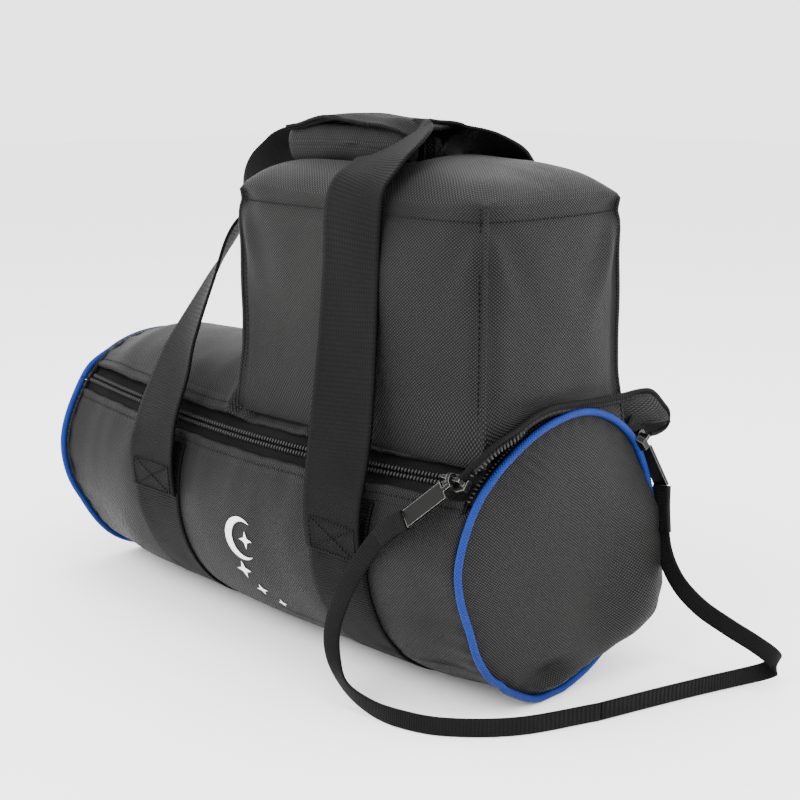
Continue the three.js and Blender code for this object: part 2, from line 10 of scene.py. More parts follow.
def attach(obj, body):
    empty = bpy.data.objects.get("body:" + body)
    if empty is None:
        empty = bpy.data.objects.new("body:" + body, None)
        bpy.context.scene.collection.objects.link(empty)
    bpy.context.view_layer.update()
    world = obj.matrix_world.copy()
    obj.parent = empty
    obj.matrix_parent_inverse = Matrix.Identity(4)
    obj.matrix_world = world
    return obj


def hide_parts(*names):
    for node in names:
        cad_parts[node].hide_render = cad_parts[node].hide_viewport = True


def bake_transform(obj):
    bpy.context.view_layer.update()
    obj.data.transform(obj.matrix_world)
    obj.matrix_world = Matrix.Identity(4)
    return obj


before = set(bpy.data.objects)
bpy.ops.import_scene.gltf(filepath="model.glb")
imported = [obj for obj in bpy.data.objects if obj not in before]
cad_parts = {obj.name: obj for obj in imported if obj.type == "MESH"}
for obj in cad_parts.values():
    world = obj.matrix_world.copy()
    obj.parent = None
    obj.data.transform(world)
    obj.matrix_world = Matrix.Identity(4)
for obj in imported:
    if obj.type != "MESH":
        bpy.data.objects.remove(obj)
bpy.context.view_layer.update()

# The camera stands a metre off, turned to the near end and the left side, a little above the box.
camera_data = bpy.data.cameras.new("camera")
camera_data.lens = 64.0
camera_data.sensor_width = 36.0
camera = bpy.data.objects.new("camera", camera_data)
camera.location = (0.7195, -0.623, 0.371)
aim = Vector((0.0375, 0.029, 0.152))
camera.rotation_euler = (aim - Vector(camera.location)).to_track_quat("-Z", "Y").to_euler()
bpy.context.scene.collection.objects.link(camera)
bpy.context.scene.camera = camera

# The studio: an even white surround, a large soft light over the left shoulder, and a weaker one
# from the near end, over a pale floor that runs far past the case.
world = bpy.data.worlds.new("studio")
world.use_nodes = True
world.node_tree.nodes["Background"].inputs["Color"].default_value = (1.0, 1.0, 1.0, 1.0)
world.node_tree.nodes["Background"].inputs["Strength"].default_value = 3.0
bpy.context.scene.world = world


def add_softbox(name, place, target, size, power):
    light_data = bpy.data.lights.new(name, "AREA")
    light_data.shape = "RECTANGLE"
    light_data.size, light_data.size_y = size
    light_data.energy = power
    light = bpy.data.objects.new(name, light_data)
    light.location = place
    light.rotation_euler = (Vector(target) - Vector(place)).to_track_quat("-Z", "Y").to_euler()
    bpy.context.scene.collection.objects.link(light)


add_softbox("key_light", (-0.2, -1.1, 1.25), (0.0, 0.0, 0.15), (1.2, 0.9), 26.0)
add_softbox("end_light", (1.3, 0.35, 0.9), (0.1, 0.0, 0.15), (0.8, 0.8), 14.0)
add_softbox("top_light", (0.05, 0.1, 1.5), (0.05, 0.0, 0.2), (1.0, 0.8), 12.0)

floor_mesh = bmesh.new()
bmesh.ops.create_grid(floor_mesh, x_segments=1, y_segments=1, size=6.0)
floor_data = bpy.data.meshes.new("floor")
floor_mesh.to_mesh(floor_data)
floor_mesh.free()
floor = bpy.data.objects.new("floor", floor_data)
bpy.context.scene.collection.objects.link(floor)
floor_paint = bpy.data.materials.new("pale_floor")
floor_paint.use_nodes = True
floor_shader = floor_paint.node_tree.nodes["Principled BSDF"]
floor_shader.inputs["Base Color"].default_value = (0.95, 0.95, 0.95, 1.0)
floor_shader.inputs["Roughness"].default_value = 0.9
floor_data.materials.append(floor_paint)

# The pull ribbon: a narrow ribbed ribbon about 11 mm wide that joins the two zip pulls. It drops
# from the left pull, lies on its edge in a loop before the near end, and rises to the right pull.
ribbon_width = 0.011
ribbon_thickness = 0.0012
ribbon_left_route = [
    ((0.1662, -0.0906, 0.1230), (0.75, 0.1, -0.6)),
    ((0.1500, -0.0935, 0.1110), (0.7, 0.3, -0.6)),
    ((0.1300, -0.0980, 0.0820), (0.85, 0.3, -0.4)),
    ((0.1170, -0.1010, 0.0520), (0.95, 0.25, -0.1)),
    ((0.1160, -0.1020, 0.0310), (0.9, 0.2, 0.3)),
    ((0.1260, -0.1020, 0.0140), (0.6, -0.3, 0.75)),
    ((0.1460, -0.1010, 0.0066), (0.1, -0.2, 1.0)),
    ((0.1700, -0.0990, 0.0060), (0.0, 0.0, 1.0)),
    ((0.1970, -0.0870, 0.0060), (0.0, 0.0, 1.0)),
    ((0.2250, -0.0560, 0.0060), (0.0, 0.0, 1.0)),
    ((0.2450, -0.0080, 0.0060), (0.0, 0.0, 1.0)),
]
ribbon_right_route = [
    ((0.2451, -0.0077, 0.0060), (0.0, 0.0, 1.0)),
    ((0.2560, 0.0320, 0.0060), (0.0, 0.0, 1.0)),
    ((0.2665, 0.0680, 0.0060), (0.0, 0.0, 1.0)),
    ((0.2755, 0.0925, 0.0066), (0.0, 0.1, 1.0)),
    ((0.2840, 0.1060, 0.0092), (0.1, 0.3, 0.95)),
    ((0.2895, 0.1085, 0.0145), (0.1, 0.4, 0.9)),
    ((0.2885, 0.1035, 0.0215), (0.2, 0.4, 0.9)),
    ((0.2800, 0.0970, 0.0290), (0.3, 0.3, 0.9)),
    ((0.2640, 0.0920, 0.0365), (0.3, 0.4, 0.8)),
    ((0.2450, 0.0890, 0.0450), (0.5, 0.4, 0.7)),
    ((0.2280, 0.0888, 0.0570), (0.7, 0.2, 0.5)),
    ((0.2165, 0.0900, 0.0740), (0.9, 0.1, 0.3)),
    ((0.2115, 0.0918, 0.0950), (1.0, 0.0, 0.15)),
    ((0.2091, 0.0942, 0.1150), (1.0, 0.0, 0.1)),
]


def smooth_between(points, t):
    """The point at t, from 0 to 1, on a smooth curve through the points."""
    last = len(points) - 1
    i = min(int(t * last), last - 1)
    f = t * last - i
    p1, p2 = Vector(points[i]), Vector(points[i + 1])
    p0 = Vector(points[i - 1]) if i > 0 else 2 * p1 - p2
    p3 = Vector(points[i + 2]) if i + 2 <= last else 2 * p2 - p1
    bend = 2 * p0 - 5 * p1 + 4 * p2 - p3
    return p1 + 0.5 * f * (p2 - p0 + f * (bend + f * (3 * (p1 - p2) + p3 - p0)))


def finish_piece(name, shape, material, smooth=True):
    """Turns a bmesh into an object of one material at the origin."""
    data = bpy.data.meshes.new(name)
    shape.to_mesh(data)
    shape.free()
    for polygon in data.polygons:
        polygon.use_smooth = smooth
    piece = bpy.data.objects.new(name, data)
    data.materials.append(material)
    bpy.context.scene.collection.objects.link(piece)
    return piece


def add_cloth_grid(across, along, place, uv_size=(1.0, 1.0), inward=False):
    """A grid of cloth facing away from the drum's middle line, or towards it when inward.

    place gives the point at u across and v along, each from 0 to 1."""
    shape = bmesh.new()
    uv_layer = shape.loops.layers.uv.new("weave")
    bmesh.ops.create_grid(shape, x_segments=across, y_segments=along, size=0.5)
    for face in shape.faces:
        for loop in face.loops:
            u, v = loop.vert.co.x + 0.5, loop.vert.co.y + 0.5
            loop[uv_layer].uv = (u * uv_size[0], v * uv_size[1])
    for vert in shape.verts:
        vert.co = place(vert.co.x + 0.5, vert.co.y + 0.5)
    shape.normal_update()
    outward = 0.0
    for face in shape.faces:
        middle = face.calc_center_median()
        outward += face.normal.dot(middle - Vector((middle.x * 0.9, 0.0, 0.087))) * face.calc_area()
    if (outward < 0) != inward:
        bmesh.ops.reverse_faces(shape, faces=shape.faces)
    return shape


def route_frame(route, t):
    """Centre, width direction and outward normal of a strip at t."""
    centre = smooth_between([station[0] for station in route], t)
    ahead = smooth_between([station[0] for station in route], min(1.0, t + 0.004))
    behind = smooth_between([station[0] for station in route], max(0.0, t - 0.004))
    tangent = (ahead - behind).normalized()
    side = smooth_between([station[1] for station in route], t)
    side = (side - tangent * side.dot(tangent)).normalized()
    return centre, side, tangent.cross(side)


def route_length(route, steps=200):
    points = [smooth_between([station[0] for station in route], i / steps) for i in range(steps + 1)]
    return sum((b - a).length for a, b in zip(points, points[1:])), points


def thicken(piece, thickness, offset=0.0):
    wall = piece.modifiers.new("thickness", "SOLIDIFY")
    wall.thickness = thickness
    wall.offset = offset
    return piece


def add_cloth(name, squares, place, uv_size, material, thickness, offset=0.0, inward=False):
    """A thick sheet of cloth. squares says how finely it is made across and along."""
    shape = add_cloth_grid(*squares, place, uv_size, inward)
    return thicken(finish_piece(name, shape, material), thickness, offset)


def add_strip(name, route, width_at, thickness, material, across=8, along=120, bow=0.0):
    """A flat strip bent along a route, its UV in metres across and along."""
    length, _ = route_length(route)

    def place(u, v):
        centre, side, normal = route_frame(route, v)
        edge = 2 * u - 1
        return centre + side * (edge * width_at(v) / 2) + normal * (bow * (1 - edge * edge))

    shape = add_cloth_grid(across, along, place, (width_at(0.5), length))
    return thicken(finish_piece(name, shape, material), thickness)


def new_material(name, roughness, color):
    material = bpy.data.materials.new(name)
    material.use_nodes = True
    shader = material.node_tree.nodes["Principled BSDF"]
    shader.inputs["Roughness"].default_value = roughness
    shader.inputs["Base Color"].default_value = (*color, 1.0)
    return material, material.node_tree, shader


def add_node(tree, kind, inputs=None, **settings):
    node = tree.nodes.new(kind)
    for key, value in settings.items():
        setattr(node, key, value)
    for key, value in (inputs or {}).items():
        node.inputs[key].default_value = value
    return node


def add_math(tree, operation, a, b=0.0, c=0.5):
    node = tree.nodes.new("ShaderNodeMath")
    node.operation = operation
    for slot, value in enumerate((a, b, c)):
        if isinstance(value, (int, float)):
            node.inputs[slot].default_value = value
        else:
            tree.links.new(value, node.inputs[slot])
    return node.outputs[0]


def add_noise(tree, scale, detail, roughness=0.5):
    """A noise that is fixed to the cloth itself."""
    place = add_node(tree, "ShaderNodeTexCoord")
    settings = {"Scale": scale, "Detail": detail, "Roughness": roughness}
    speckle = add_node(tree, "ShaderNodeTexNoise", settings)
    tree.links.new(place.outputs["Object"], speckle.inputs["Vector"])
    return speckle.outputs["Fac"]


def weave_axes(tree):
    """The two directions of a cloth's weave, in metres."""
    uv = add_node(tree, "ShaderNodeUVMap", uv_map="weave")
    axes = add_node(tree, "ShaderNodeSeparateXYZ")
    tree.links.new(uv.outputs["UV"], axes.inputs["Vector"])
    return axes.outputs["X"], axes.outputs["Y"]


def set_gloss(shader, specular, sheen=0.0, sheen_roughness=0.5):
    shader.inputs["Specular IOR Level"].default_value = specular
    shader.inputs["Sheen Weight"].default_value = sheen
    shader.inputs["Sheen Roughness"].default_value = sheen_roughness


def color_between(tree, shader, factor, dark, light):
    """Drives the shader's colour from dark to light by a factor."""
    ramp = tree.nodes.new("ShaderNodeValToRGB")
    ramp.color_ramp.elements[0].color = (*dark, 1.0)
    ramp.color_ramp.elements[1].color = (*light, 1.0)
    tree.links.new(factor, ramp.inputs["Fac"])
    tree.links.new(ramp.outputs["Color"], shader.inputs["Base Color"])


def add_bump(tree, shader, height, distance, strength=1.0):
    bump = add_node(tree, "ShaderNodeBump", {"Distance": distance, "Strength": strength})
    tree.links.new(height, bump.inputs["Height"])
    tree.links.new(bump.outputs["Normal"], shader.inputs["Normal"])


def waves(tree, coordinate, pitch):
    """A smooth wave from 0 to 1 along a coordinate in metres."""
    turns = add_math(tree, "MULTIPLY", coordinate, 2 * math.pi / pitch)
    return add_math(tree, "MULTIPLY_ADD", add_math(tree, "SINE", turns), 0.5)


def ribbed_webbing(name, rib_pitch, thread_pitch, dark, light, roughness=0.62):
    """Webbing: ribs across its length, broken into short threads."""
    material, tree, shader = new_material(name, roughness, light)
    across, along = weave_axes(tree)
    thread = add_math(tree, "MULTIPLY_ADD", waves(tree, across, thread_pitch), 0.5)
    height = add_math(tree, "MULTIPLY", waves(tree, along, rib_pitch), thread)
    shade = add_math(tree, "MULTIPLY_ADD", add_noise(tree, 42.0, 5.0, 0.6), 0.7, -0.1)
    # The colour follows the rib height: the light rib tops and dark grooves are painted highlight and painted
    # shade; the noise on them is random tone.
    tone = add_math(tree, "MULTIPLY", add_math(tree, "ADD", height, 0.35), shade)
    color_between(tree, shader, tone, dark, light)
    add_bump(tree, shader, height, 0.0005)
    set_gloss(shader, 0.07, 0.003, 0.4)
    return material


ribbon_weave = ribbed_webbing("ribbon_weave", 0.0016, 0.0011, (0.001, 0.001, 0.001), (0.0085, 0.0082, 0.0082))


def add_ribbon(name, route):
    """One half of the ribbon, laid along its route."""
    ribbon = add_strip("pull_" + name, route, lambda v: ribbon_width, ribbon_thickness, ribbon_weave,
                       6, 150, 0.0003)
    length, path = route_length(route)
    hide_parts(name)
    [tuple(point) for point in path]
    bpy.context.view_layer.update()
    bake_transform(ribbon)


add_ribbon("ribbon_left", ribbon_left_route)
add_ribbon("ribbon_right", ribbon_right_route[::-1])

# Each ribbon end is folded back through its pull tab and stitched to itself, twice as thick there.


def add_ribbon_fold(name, route, slider):
    places = [station[0] for station in route]
    end = [(smooth_between(places, 0.055 * step), route[0][1]) for step in range(3)]
    fold = add_strip(name, end, lambda v: ribbon_width + 0.0006, 0.0034, ribbon_weave, 6, 12)
    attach(fold, slider)


add_ribbon_fold("left_ribbon_fold", ribbon_left_route, "left_slider")
add_ribbon_fold("right_ribbon_fold", ribbon_right_route[::-1], "right_slider")

# The drum: one sheet of ballistic nylon over foam, from the zip on one side under the case to the
# zip on the other. It has sagged a little, rests flat on its straps and puckers where it is sewn.
drum_middle = Vector((0.0, 0.0, 0.087))
drum_outside = 0.090
near_strap_x, far_strap_x = 0.107, -0.082
# The nylon's two colours: the dark one is painted shade in the gaps between the threads, the light one the
# thread tops with a painted highlight.
nylon_gap_shade = (0.0006, 0.0006, 0.0006)
nylon_lit_tops = (0.0400, 0.0380, 0.0376)
near_rim = [(-14, 0.0935), (0, 0.0925), (16, 0.0908), (28, 0.0909), (42, 0.0921), (57, 0.0915), (75, 0.0895),
            (94, 0.0855), (117, 0.0832), (132, 0.0845), (145, 0.0863), (157, 0.0870), (171, 0.0871),
            (179, 0.0850), (197, 0.0800), (212, 0.0812), (225, 0.0822), (243, 0.0828), (260, 0.0850),
            (285, 0.0830), (310, 0.0835), (330, 0.0925), (346, 0.0935), (360, 0.0925)]
far_rim = [(-20, 0.0880), (0, 0.0885), (30, 0.0890), (90, 0.0890), (132, 0.0915), (150, 0.0900),
           (172, 0.0905), (190, 0.0873), (207, 0.0835), (237, 0.0855), (270, 0.0845), (300, 0.0850),
           (340, 0.0880), (360, 0.0885)]


def ease(low, high, value):
    t = min(1.0, max(0.0, (value - low) / (high - low)))
    return t * t * (3 - 2 * t)


def read_table(table, at):
    """The value of a table of (place, value) pairs at a place, on a smooth curve through them."""
    last = len(table) - 1
    i = next((k for k in range(last) if at <= table[k + 1][0]), last - 1)
    (a, low), (b, high) = table[i], table[i + 1]
    before, after = table[max(0, i - 1)], table[min(last, i + 2)]
    rise_low = (high - before[1]) / (b - before[0]) * (b - a)
    rise_high = (after[1] - low) / (after[0] - a) * (b - a)
    t = (at - a) / (b - a)
    bend = 3 * (high - low) - 2 * rise_low - rise_high
    return low + t * (rise_low + t * (bend + t * (rise_low + rise_high - 2 * (high - low))))


def on_section(x, angle, radius):
    """The point of the drum at a distance along it, an angle in degrees and a radius."""
    turn = math.radians(angle)
    return Vector((x, radius * math.cos(turn), max(drum_middle.z + radius * math.sin(turn), 0.0024)))


def wrinkles(x, angle, size):
    """Shallow folds in the nylon, longer round the drum than along it."""
    point = Vector((x * 26, math.cos(math.radians(angle)) * 1.6, math.sin(math.radians(angle)) * 1.6))
    soft = noise.noise(point * 0.55 + Vector((3.1, 0.0, 7.0)))
    fine = noise.noise(point * 1.7 + Vector((0.0, 9.0, 2.0)))
    return size * (soft + 0.45 * fine)


def skin_radius(x, angle):
    """The outside of the drum's fabric, pulled in at both rims and under the straps."""
    round_angle = angle % 360
    to_near = ease(0.110, 0.2, x)
    to_far = ease(-0.130, -0.2, x)
    radius = drum_outside + (read_table(near_rim, round_angle) - drum_outside) * to_near
    radius += (read_table(far_rim, round_angle) - drum_outside) * to_far
    sewn = math.exp(-(0.200 - x) / 0.012) + math.exp(-(x + 0.200) / 0.012)
    radius += 0.0005 * sewn * math.sin(math.radians(angle) * 33 + 2.2 * math.sin(math.radians(angle) * 5))
    radius -= 0.0012 * math.exp(-((0.200 - x) / 0.004) ** 2) + 0.0012 * math.exp(-((x + 0.200) / 0.004) ** 2)
    for strap in (near_strap_x, far_strap_x):
        radius -= 0.0022 * math.exp(-((x - strap) / 0.030) ** 4)
    belly = math.exp(-((x - 0.012) / 0.055) ** 2) + math.exp(-((x - 0.160) / 0.025) ** 2)
    radius += 0.0012 * belly
    high = ease(-0.2, 0.55, math.sin(math.radians(angle)))
    drape = noise.noise(Vector((x * 75, math.sin(math.radians(angle)) * 1.3, 4.0)))
    radius += 0.0014 * high * drape
    quiet = 1.0 if round_angle < 225 or round_angle > 315 else 0.3
    return radius + wrinkles(x, angle, 0.0019) * quiet


def zip_height(x):
    """The zip's angle above the horizontal: it sags between the two ends of the case."""
    return 42.0 - 7.0 * math.cos(math.pi * x / 0.42)


def woven_nylon(name, dark, light, warp_pitch, weft_pitch):
    """Ballistic nylon: a basket of short raised threads, shiny on their tops; the light thread tops and dark
    gaps between them in the colour are painted highlight and painted shade.
    """
    material, tree, shader = new_material(name, 0.5, light)
    along_warp, along_weft = weave_axes(tree)
    warp = add_math(tree, "SINE", add_math(tree, "MULTIPLY", along_warp, 2 * math.pi / warp_pitch))
    weft = add_math(tree, "SINE", add_math(tree, "MULTIPLY", along_weft, 2 * math.pi / weft_pitch))
    basket = add_math(tree, "MULTIPLY_ADD", add_math(tree, "MULTIPLY", warp, weft), 0.5)
    broad = add_math(tree, "MULTIPLY_ADD", add_noise(tree, 9.0, 3.0), 0.55)
    fibre = add_math(tree, "MULTIPLY_ADD", add_noise(tree, 900.0, 2.0), 0.5, 0.75)
    tone = add_math(tree, "MULTIPLY", broad, fibre)
    tone = add_math(tree, "MULTIPLY", add_math(tree, "POWER", basket, 3.2), tone)
    color_between(tree, shader, tone, dark, light)
    gloss = add_node(tree, "ShaderNodeMapRange", {"To Min": 0.62, "To Max": 0.40})
    tree.links.new(basket, gloss.inputs["Value"])
    tree.links.new(gloss.outputs["Result"], shader.inputs["Roughness"])
    add_bump(tree, shader, basket, 0.0006)
    set_gloss(shader, 0.11, 0.01, 0.35)
    return material


ballistic_nylon = woven_nylon("ballistic_nylon", nylon_gap_shade, nylon_lit_tops, 0.0023, 0.0019)
drum_low, drum_high = -0.200, 0.200


def sew_on(piece, body, slot, *nodes):
    """Fixes a piece to its body, in the place of the plain solids named."""
    if nodes:
        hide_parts(*nodes)
    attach(piece, body)


def drum_arc(u, right, left, x):
    """The angle at u across the drum's sheet, from the right zip under the case to the left zip."""
    first = zip_height(x) - right
    last = 180 - zip_height(x) + left - 360
    return first + (last - first) * u


def place_drum(u, v):
    x = drum_low + (drum_high - drum_low) * v
    angle = drum_arc(u, 7.6, 7.6, x)
    edge = min(u, 1 - u) * 300
    tuck = 0.0035 * math.exp(-edge / 1.2)
    return on_section(x, angle, skin_radius(x, angle) - tuck)


drum_skin = add_cloth("drum_skin", (230, 130), place_drum, (0.47, 0.40), ballistic_nylon, 0.0045, -1.0)
sew_on(drum_skin, "root", "nylon", "drum_wrap")


# The end panels: round nylon panels over thin foam, stuffed outward. The near one is full and
# rumpled low down; the far one is sewn in two halves, so that the upper half lifts with the lid.
near_panel_x = 0.2030
far_panel_x = -0.2030


def panel_disc(rings, spokes, place):
    """A closed round of cloth. place gives the point at a share of the radius and an angle."""
    shape = bmesh.new()
    uv_layer = shape.loops.layers.uv.new("weave")
    bmesh.ops.create_grid(shape, x_segments=rings, y_segments=spokes, size=0.5)
    spots = {vert: (vert.co.x + 0.5, (vert.co.y + 0.5) * 360) for vert in shape.verts}
    for face in shape.faces:
        for loop in face.loops:
            share, angle = spots[loop.vert]
            turn = math.radians(angle)
            loop[uv_layer].uv = (0.089 * share * math.cos(turn), 0.089 * share * math.sin(turn))
    for vert, (share, angle) in spots.items():
        vert.co = place(share, angle)
    bmesh.ops.remove_doubles(shape, verts=shape.verts, dist=1e-6)
    shape.normal_update()
    ends = [(face.calc_center_median().x, face.normal.x) for face in shape.faces]
    if sum(x * facing for x, facing in ends) < 0:
        bmesh.ops.reverse_faces(shape, faces=shape.faces)
    return shape


def rim_point(table, x, share, angle, inset=0.0006):
    rim = on_section(x, angle, read_table(table, angle % 360) - inset)
    return Vector((x, rim.y * share, drum_middle.z + (rim.z - drum_middle.z) * share))


def place_near_panel(share, angle):
    point = rim_point(near_rim, near_panel_x, share, angle)
    turn = math.radians(angle)
    dome = (1 - share ** 3.2) * 0.0085
    low = ease(0.060, 0.012, point.z) * ease(0.0, 0.5, share)
    lean = 180 - abs(180 - (angle + 15) % 360)
    flop = ease(52, 18, lean) * ease(0.45, 0.90, share) * ease(1.0, 0.955, share)
    corner = math.exp(-(((angle % 360) - 322) / 26) ** 2) * ease(0.4, 0.88, share) * ease(1.0, 0.95, share)
    crease = noise.noise(Vector((point.y * 24 + point.z * 15, point.z * 9 - point.y * 6, 1.7)))
    tuck = -0.0050 * math.exp(-((point.y + 0.012) / 0.016) ** 2 - ((point.z - 0.020) / 0.006) ** 2)
    roll = 0.0042 * math.exp(-((point.y + 0.008) / 0.026) ** 2 - ((point.z - 0.009) / 0.005) ** 2)
    pucker = 0.0004 * math.sin(turn * 37 + 3 * math.sin(turn * 4)) * math.exp(-((share - 0.95) / 0.03) ** 2)
    inner = ease(1.0, 0.9, share)
    upper_left = ease(0.125, 0.150, point.z) * ease(0.0, -0.03, point.y)
    rows = 0.0005 * math.sin(point.y * 520 + point.z * 700) * upper_left
    point.x += dome + (0.0060 * flop + 0.0085 * corner) + 0.0015 * crease * (1 - share ** 6) + pucker
    point.x += (tuck + roll) * inner + rows * inner + 0.0020 * low * inner
    point.y += (0.0060 * flop + 0.0030 * corner) * math.cos(turn)
    point.z = max(0.0032, point.z + 0.0040 * corner * math.sin(turn))
    return point


def place_far_panel(share, angle):
    point = rim_point(far_rim, far_panel_x, share, angle)
    crease = noise.noise(Vector((point.y * 26, point.z * 22, 5.2)))
    point.x -= (1 - share ** 3.2) * 0.0070 + 0.0012 * crease * (1 - share ** 6)
    return point


near_panel = finish_piece("near_panel", panel_disc(56, 180, place_near_panel), ballistic_nylon)
thicken(near_panel, 0.0030, -1.0)
sew_on(near_panel, "root", "nylon", "near_end_panel")


def cut_far_panel(name, keep_upper):
    """The far panel above or below the line on which the lid turns up."""
    shape = panel_disc(40, 140, place_far_panel)
    cut_z = 0.1436 + (0.0004 if keep_upper else -0.0004)
    bmesh.ops.bisect_plane(shape, geom=shape.verts[:] + shape.edges[:] + shape.faces[:],
                           plane_co=(0, 0, cut_z), plane_no=(0, 0, 1),
                           clear_inner=keep_upper, clear_outer=not keep_upper)
    panel = thicken(finish_piece(name, shape, ballistic_nylon), 0.0030, -1.0)
    return panel


far_panel_low = cut_far_panel("far_panel_low", False)
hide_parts("far_end_panel_lower")
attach(far_panel_low, "root")
far_panel_high = cut_far_panel("far_panel_high", True)
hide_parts("far_end_panel_upper")
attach(far_panel_high, "lid")

# The piping: a filler cord in bright blue woven tape, sewn between drum and panel round both ends.
# The near ring has its join low on the left side; the far ring is in two parts, as its panel is.
piping_radius = 0.0023
blue_dark = (0.0002, 0.004, 0.045)
blue_light = (0.0008, 0.026, 0.215)


def woven_piping():
    material, tree, shader = new_material("woven_piping", 0.55, blue_light)
    across, along = weave_axes(tree)
    leaning = waves(tree, add_math(tree, "ADD", across, along), 0.0021)
    crossing = waves(tree, add_math(tree, "SUBTRACT", across, along), 0.0021)
    braid = add_math(tree, "MULTIPLY", leaning, crossing)
    worn = add_math(tree, "MULTIPLY", add_noise(tree, 60.0, 4.0), 0.5)
    # The colour follows the braid: its light crossings and dark hollows are painted highlight and painted
    # shade; the worn noise is random tone.
    color_between(tree, shader, add_math(tree, "MULTIPLY_ADD", braid, 1.0, worn), blue_dark, blue_light)
    add_bump(tree, shader, braid, 0.0004)
    set_gloss(shader, 0.15)
    return material


blue_weave = woven_piping()


def add_tube(name, route_at, radius, length, material, rings=200, sides=12, closed=False):
    """A round cord along a route, its UV in metres, with its two ends closed."""
    def place(u, v):
        here, ahead = route_at(v), route_at(v + 0.002)
        tangent = (ahead - here).normalized()
        up = Vector((1, 0, 0)) if abs(tangent.x) < 0.9 else Vector((0, 0, 1))
        out = tangent.cross(up).normalized()
        turn = u * 2 * math.pi
        return here + (out * math.cos(turn) + tangent.cross(out) * math.sin(turn)) * radius
    shape = add_cloth_grid(sides, rings, place, (2 * math.pi * radius, length))
    bmesh.ops.remove_doubles(shape, verts=shape.verts, dist=1e-6)
    if not closed:
        bmesh.ops.holes_fill(shape, edges=[edge for edge in shape.edges if edge.is_boundary], sides=0)
    bmesh.ops.recalc_face_normals(shape, faces=shape.faces)
    return finish_piece(name, shape, material)


def near_piping_route(v):
    angle = -128 + 360 * v
    drop = 0.0012 * math.exp(-(min(v, 1 - v) / 0.008) ** 2)
    point = on_section(0.2045, angle, read_table(near_rim, angle % 360) + 0.0004 - drop)
    return Vector((point.x, point.y, max(point.z, 0.0028)))


def far_piping_route(first, last):
    def route_at(v):
        angle = first + (last - first) * v
        under_lid = 0.0030 * ease(44, 60, 90 - abs(90 - angle))
        point = on_section(-0.2045, angle, read_table(far_rim, angle % 360) + 0.0004 - under_lid)
        return Vector((point.x, point.y, max(point.z, 0.0028)))
    return route_at


near_piping = add_tube("near_ring", near_piping_route, piping_radius, 0.56, blue_weave, 260)
sew_on(near_piping, "root", "piping", "near_piping")
far_piping_low = add_tube("far_ring_low", far_piping_route(141.0 - 360, 39.0), piping_radius, 0.40,
                          blue_weave, 180)
sew_on(far_piping_low, "root", "piping", "far_piping_lower")
far_piping_high = add_tube("far_ring_high", far_piping_route(39.15, 140.85), piping_radius, 0.156,
                           blue_weave, 90)
sew_on(far_piping_high, "lid", "piping", "far_piping_upper")

# The zip: a coil zip of two tapes, each with a row of nylon teeth, along both sides of the case and
# over its near end. The lower halves are sewn to the drum and the upper halves to the lid.
tooth_pitch = 0.0027
tooth_size = Matrix.Diagonal((0.0030 * 0.62, 0.00088, 0.00105, 1.0))
tape_weave = ribbed_webbing("tape_weave", 0.0014, 0.0009, (0.001, 0.001, 0.001), (0.0075, 0.0072, 0.0072))


def plain_nylon(name, roughness, scale, detail, dark, light, specular):
    material, tree, shader = new_material(name, roughness, light)
    color_between(tree, shader, add_noise(tree, scale, detail), dark, light)
    set_gloss(shader, specular)
    return material


coil_nylon = plain_nylon("coil_nylon", 0.36, 380.0, 2.0, (0.001, 0.001, 0.001), (0.011, 0.0107, 0.0105), 0.30)


def zip_side(side, x, offset, radius):
    """A point on one side's zip: degrees above (+) or below (-) the line where the rows meet."""
    above = zip_height(x) + offset
    return on_section(x, above if side > 0 else 180 - above, radius)


def zip_radius(x):
    return 0.0866 + 0.002 * (ease(0.15, 0.19, x) + ease(-0.15, -0.19, x)) * 0.5


def add_teeth(name, spot, count, material):
    """A row of coil teeth. spot gives each tooth's centre, its direction across and its outward one."""
    shape = bmesh.new()
    for number in range(count):
        centre, across, out = spot((number + 0.5) / count)
        along = across.cross(out)
        turn = Matrix((across, along, out)).transposed().to_4x4()
        bmesh.ops.create_uvsphere(shape, u_segments=8, v_segments=6, radius=1.0,
                                  matrix=Matrix.Translation(centre) @ turn @ tooth_size)
    return finish_piece(name, shape, material)


def add_side_zip(name, side, half, body, node):
    """One row of a side zip: half is +1 for the lid's tape and teeth, -1 for the drum's."""
    def place_tape(u, v):
        x = -0.1985 + 0.3965 * v
        return zip_side(side, x, half * (0.12 + 11.0 * u), zip_radius(x) - 0.0007 + 0.0004 * math.sin(x * 90))
    shape = add_cloth_grid(6, 130, place_tape, (0.0175, 0.3965))
    tape = thicken(finish_piece(name + "_tape", shape, tape_weave), 0.0009, -1.0)
    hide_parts(node + "_zip_tape")
    closed_to = 0.190

    def spot(t):
        x = -0.1980 + (closed_to + 0.1980) * t + half * tooth_pitch / 4
        here = zip_side(side, x, half * 1.30, zip_radius(x) + 0.0009)
        away = zip_side(side, x, half * 2.30, zip_radius(x) + 0.0009)
        across = (away - here).normalized()
        out = Vector((0, math.cos(math.radians(zip_height(x))) * side, math.sin(math.radians(zip_height(x)))))
        return here, across, (out - across * out.dot(across)).normalized()
    teeth = add_teeth(name + "_teeth", spot, int((closed_to + 0.198) / tooth_pitch), coil_nylon)
    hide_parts(node + "_zip_coil")
    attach(tape, body)
    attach(teeth, body)


add_side_zip("left_low", -1, -1, "root", "left_lower")
add_side_zip("right_low", 1, -1, "root", "right_lower")
add_side_zip("left_high", -1, 1, "lid", "left_upper")
add_side_zip("right_high", 1, 1, "lid", "right_upper")

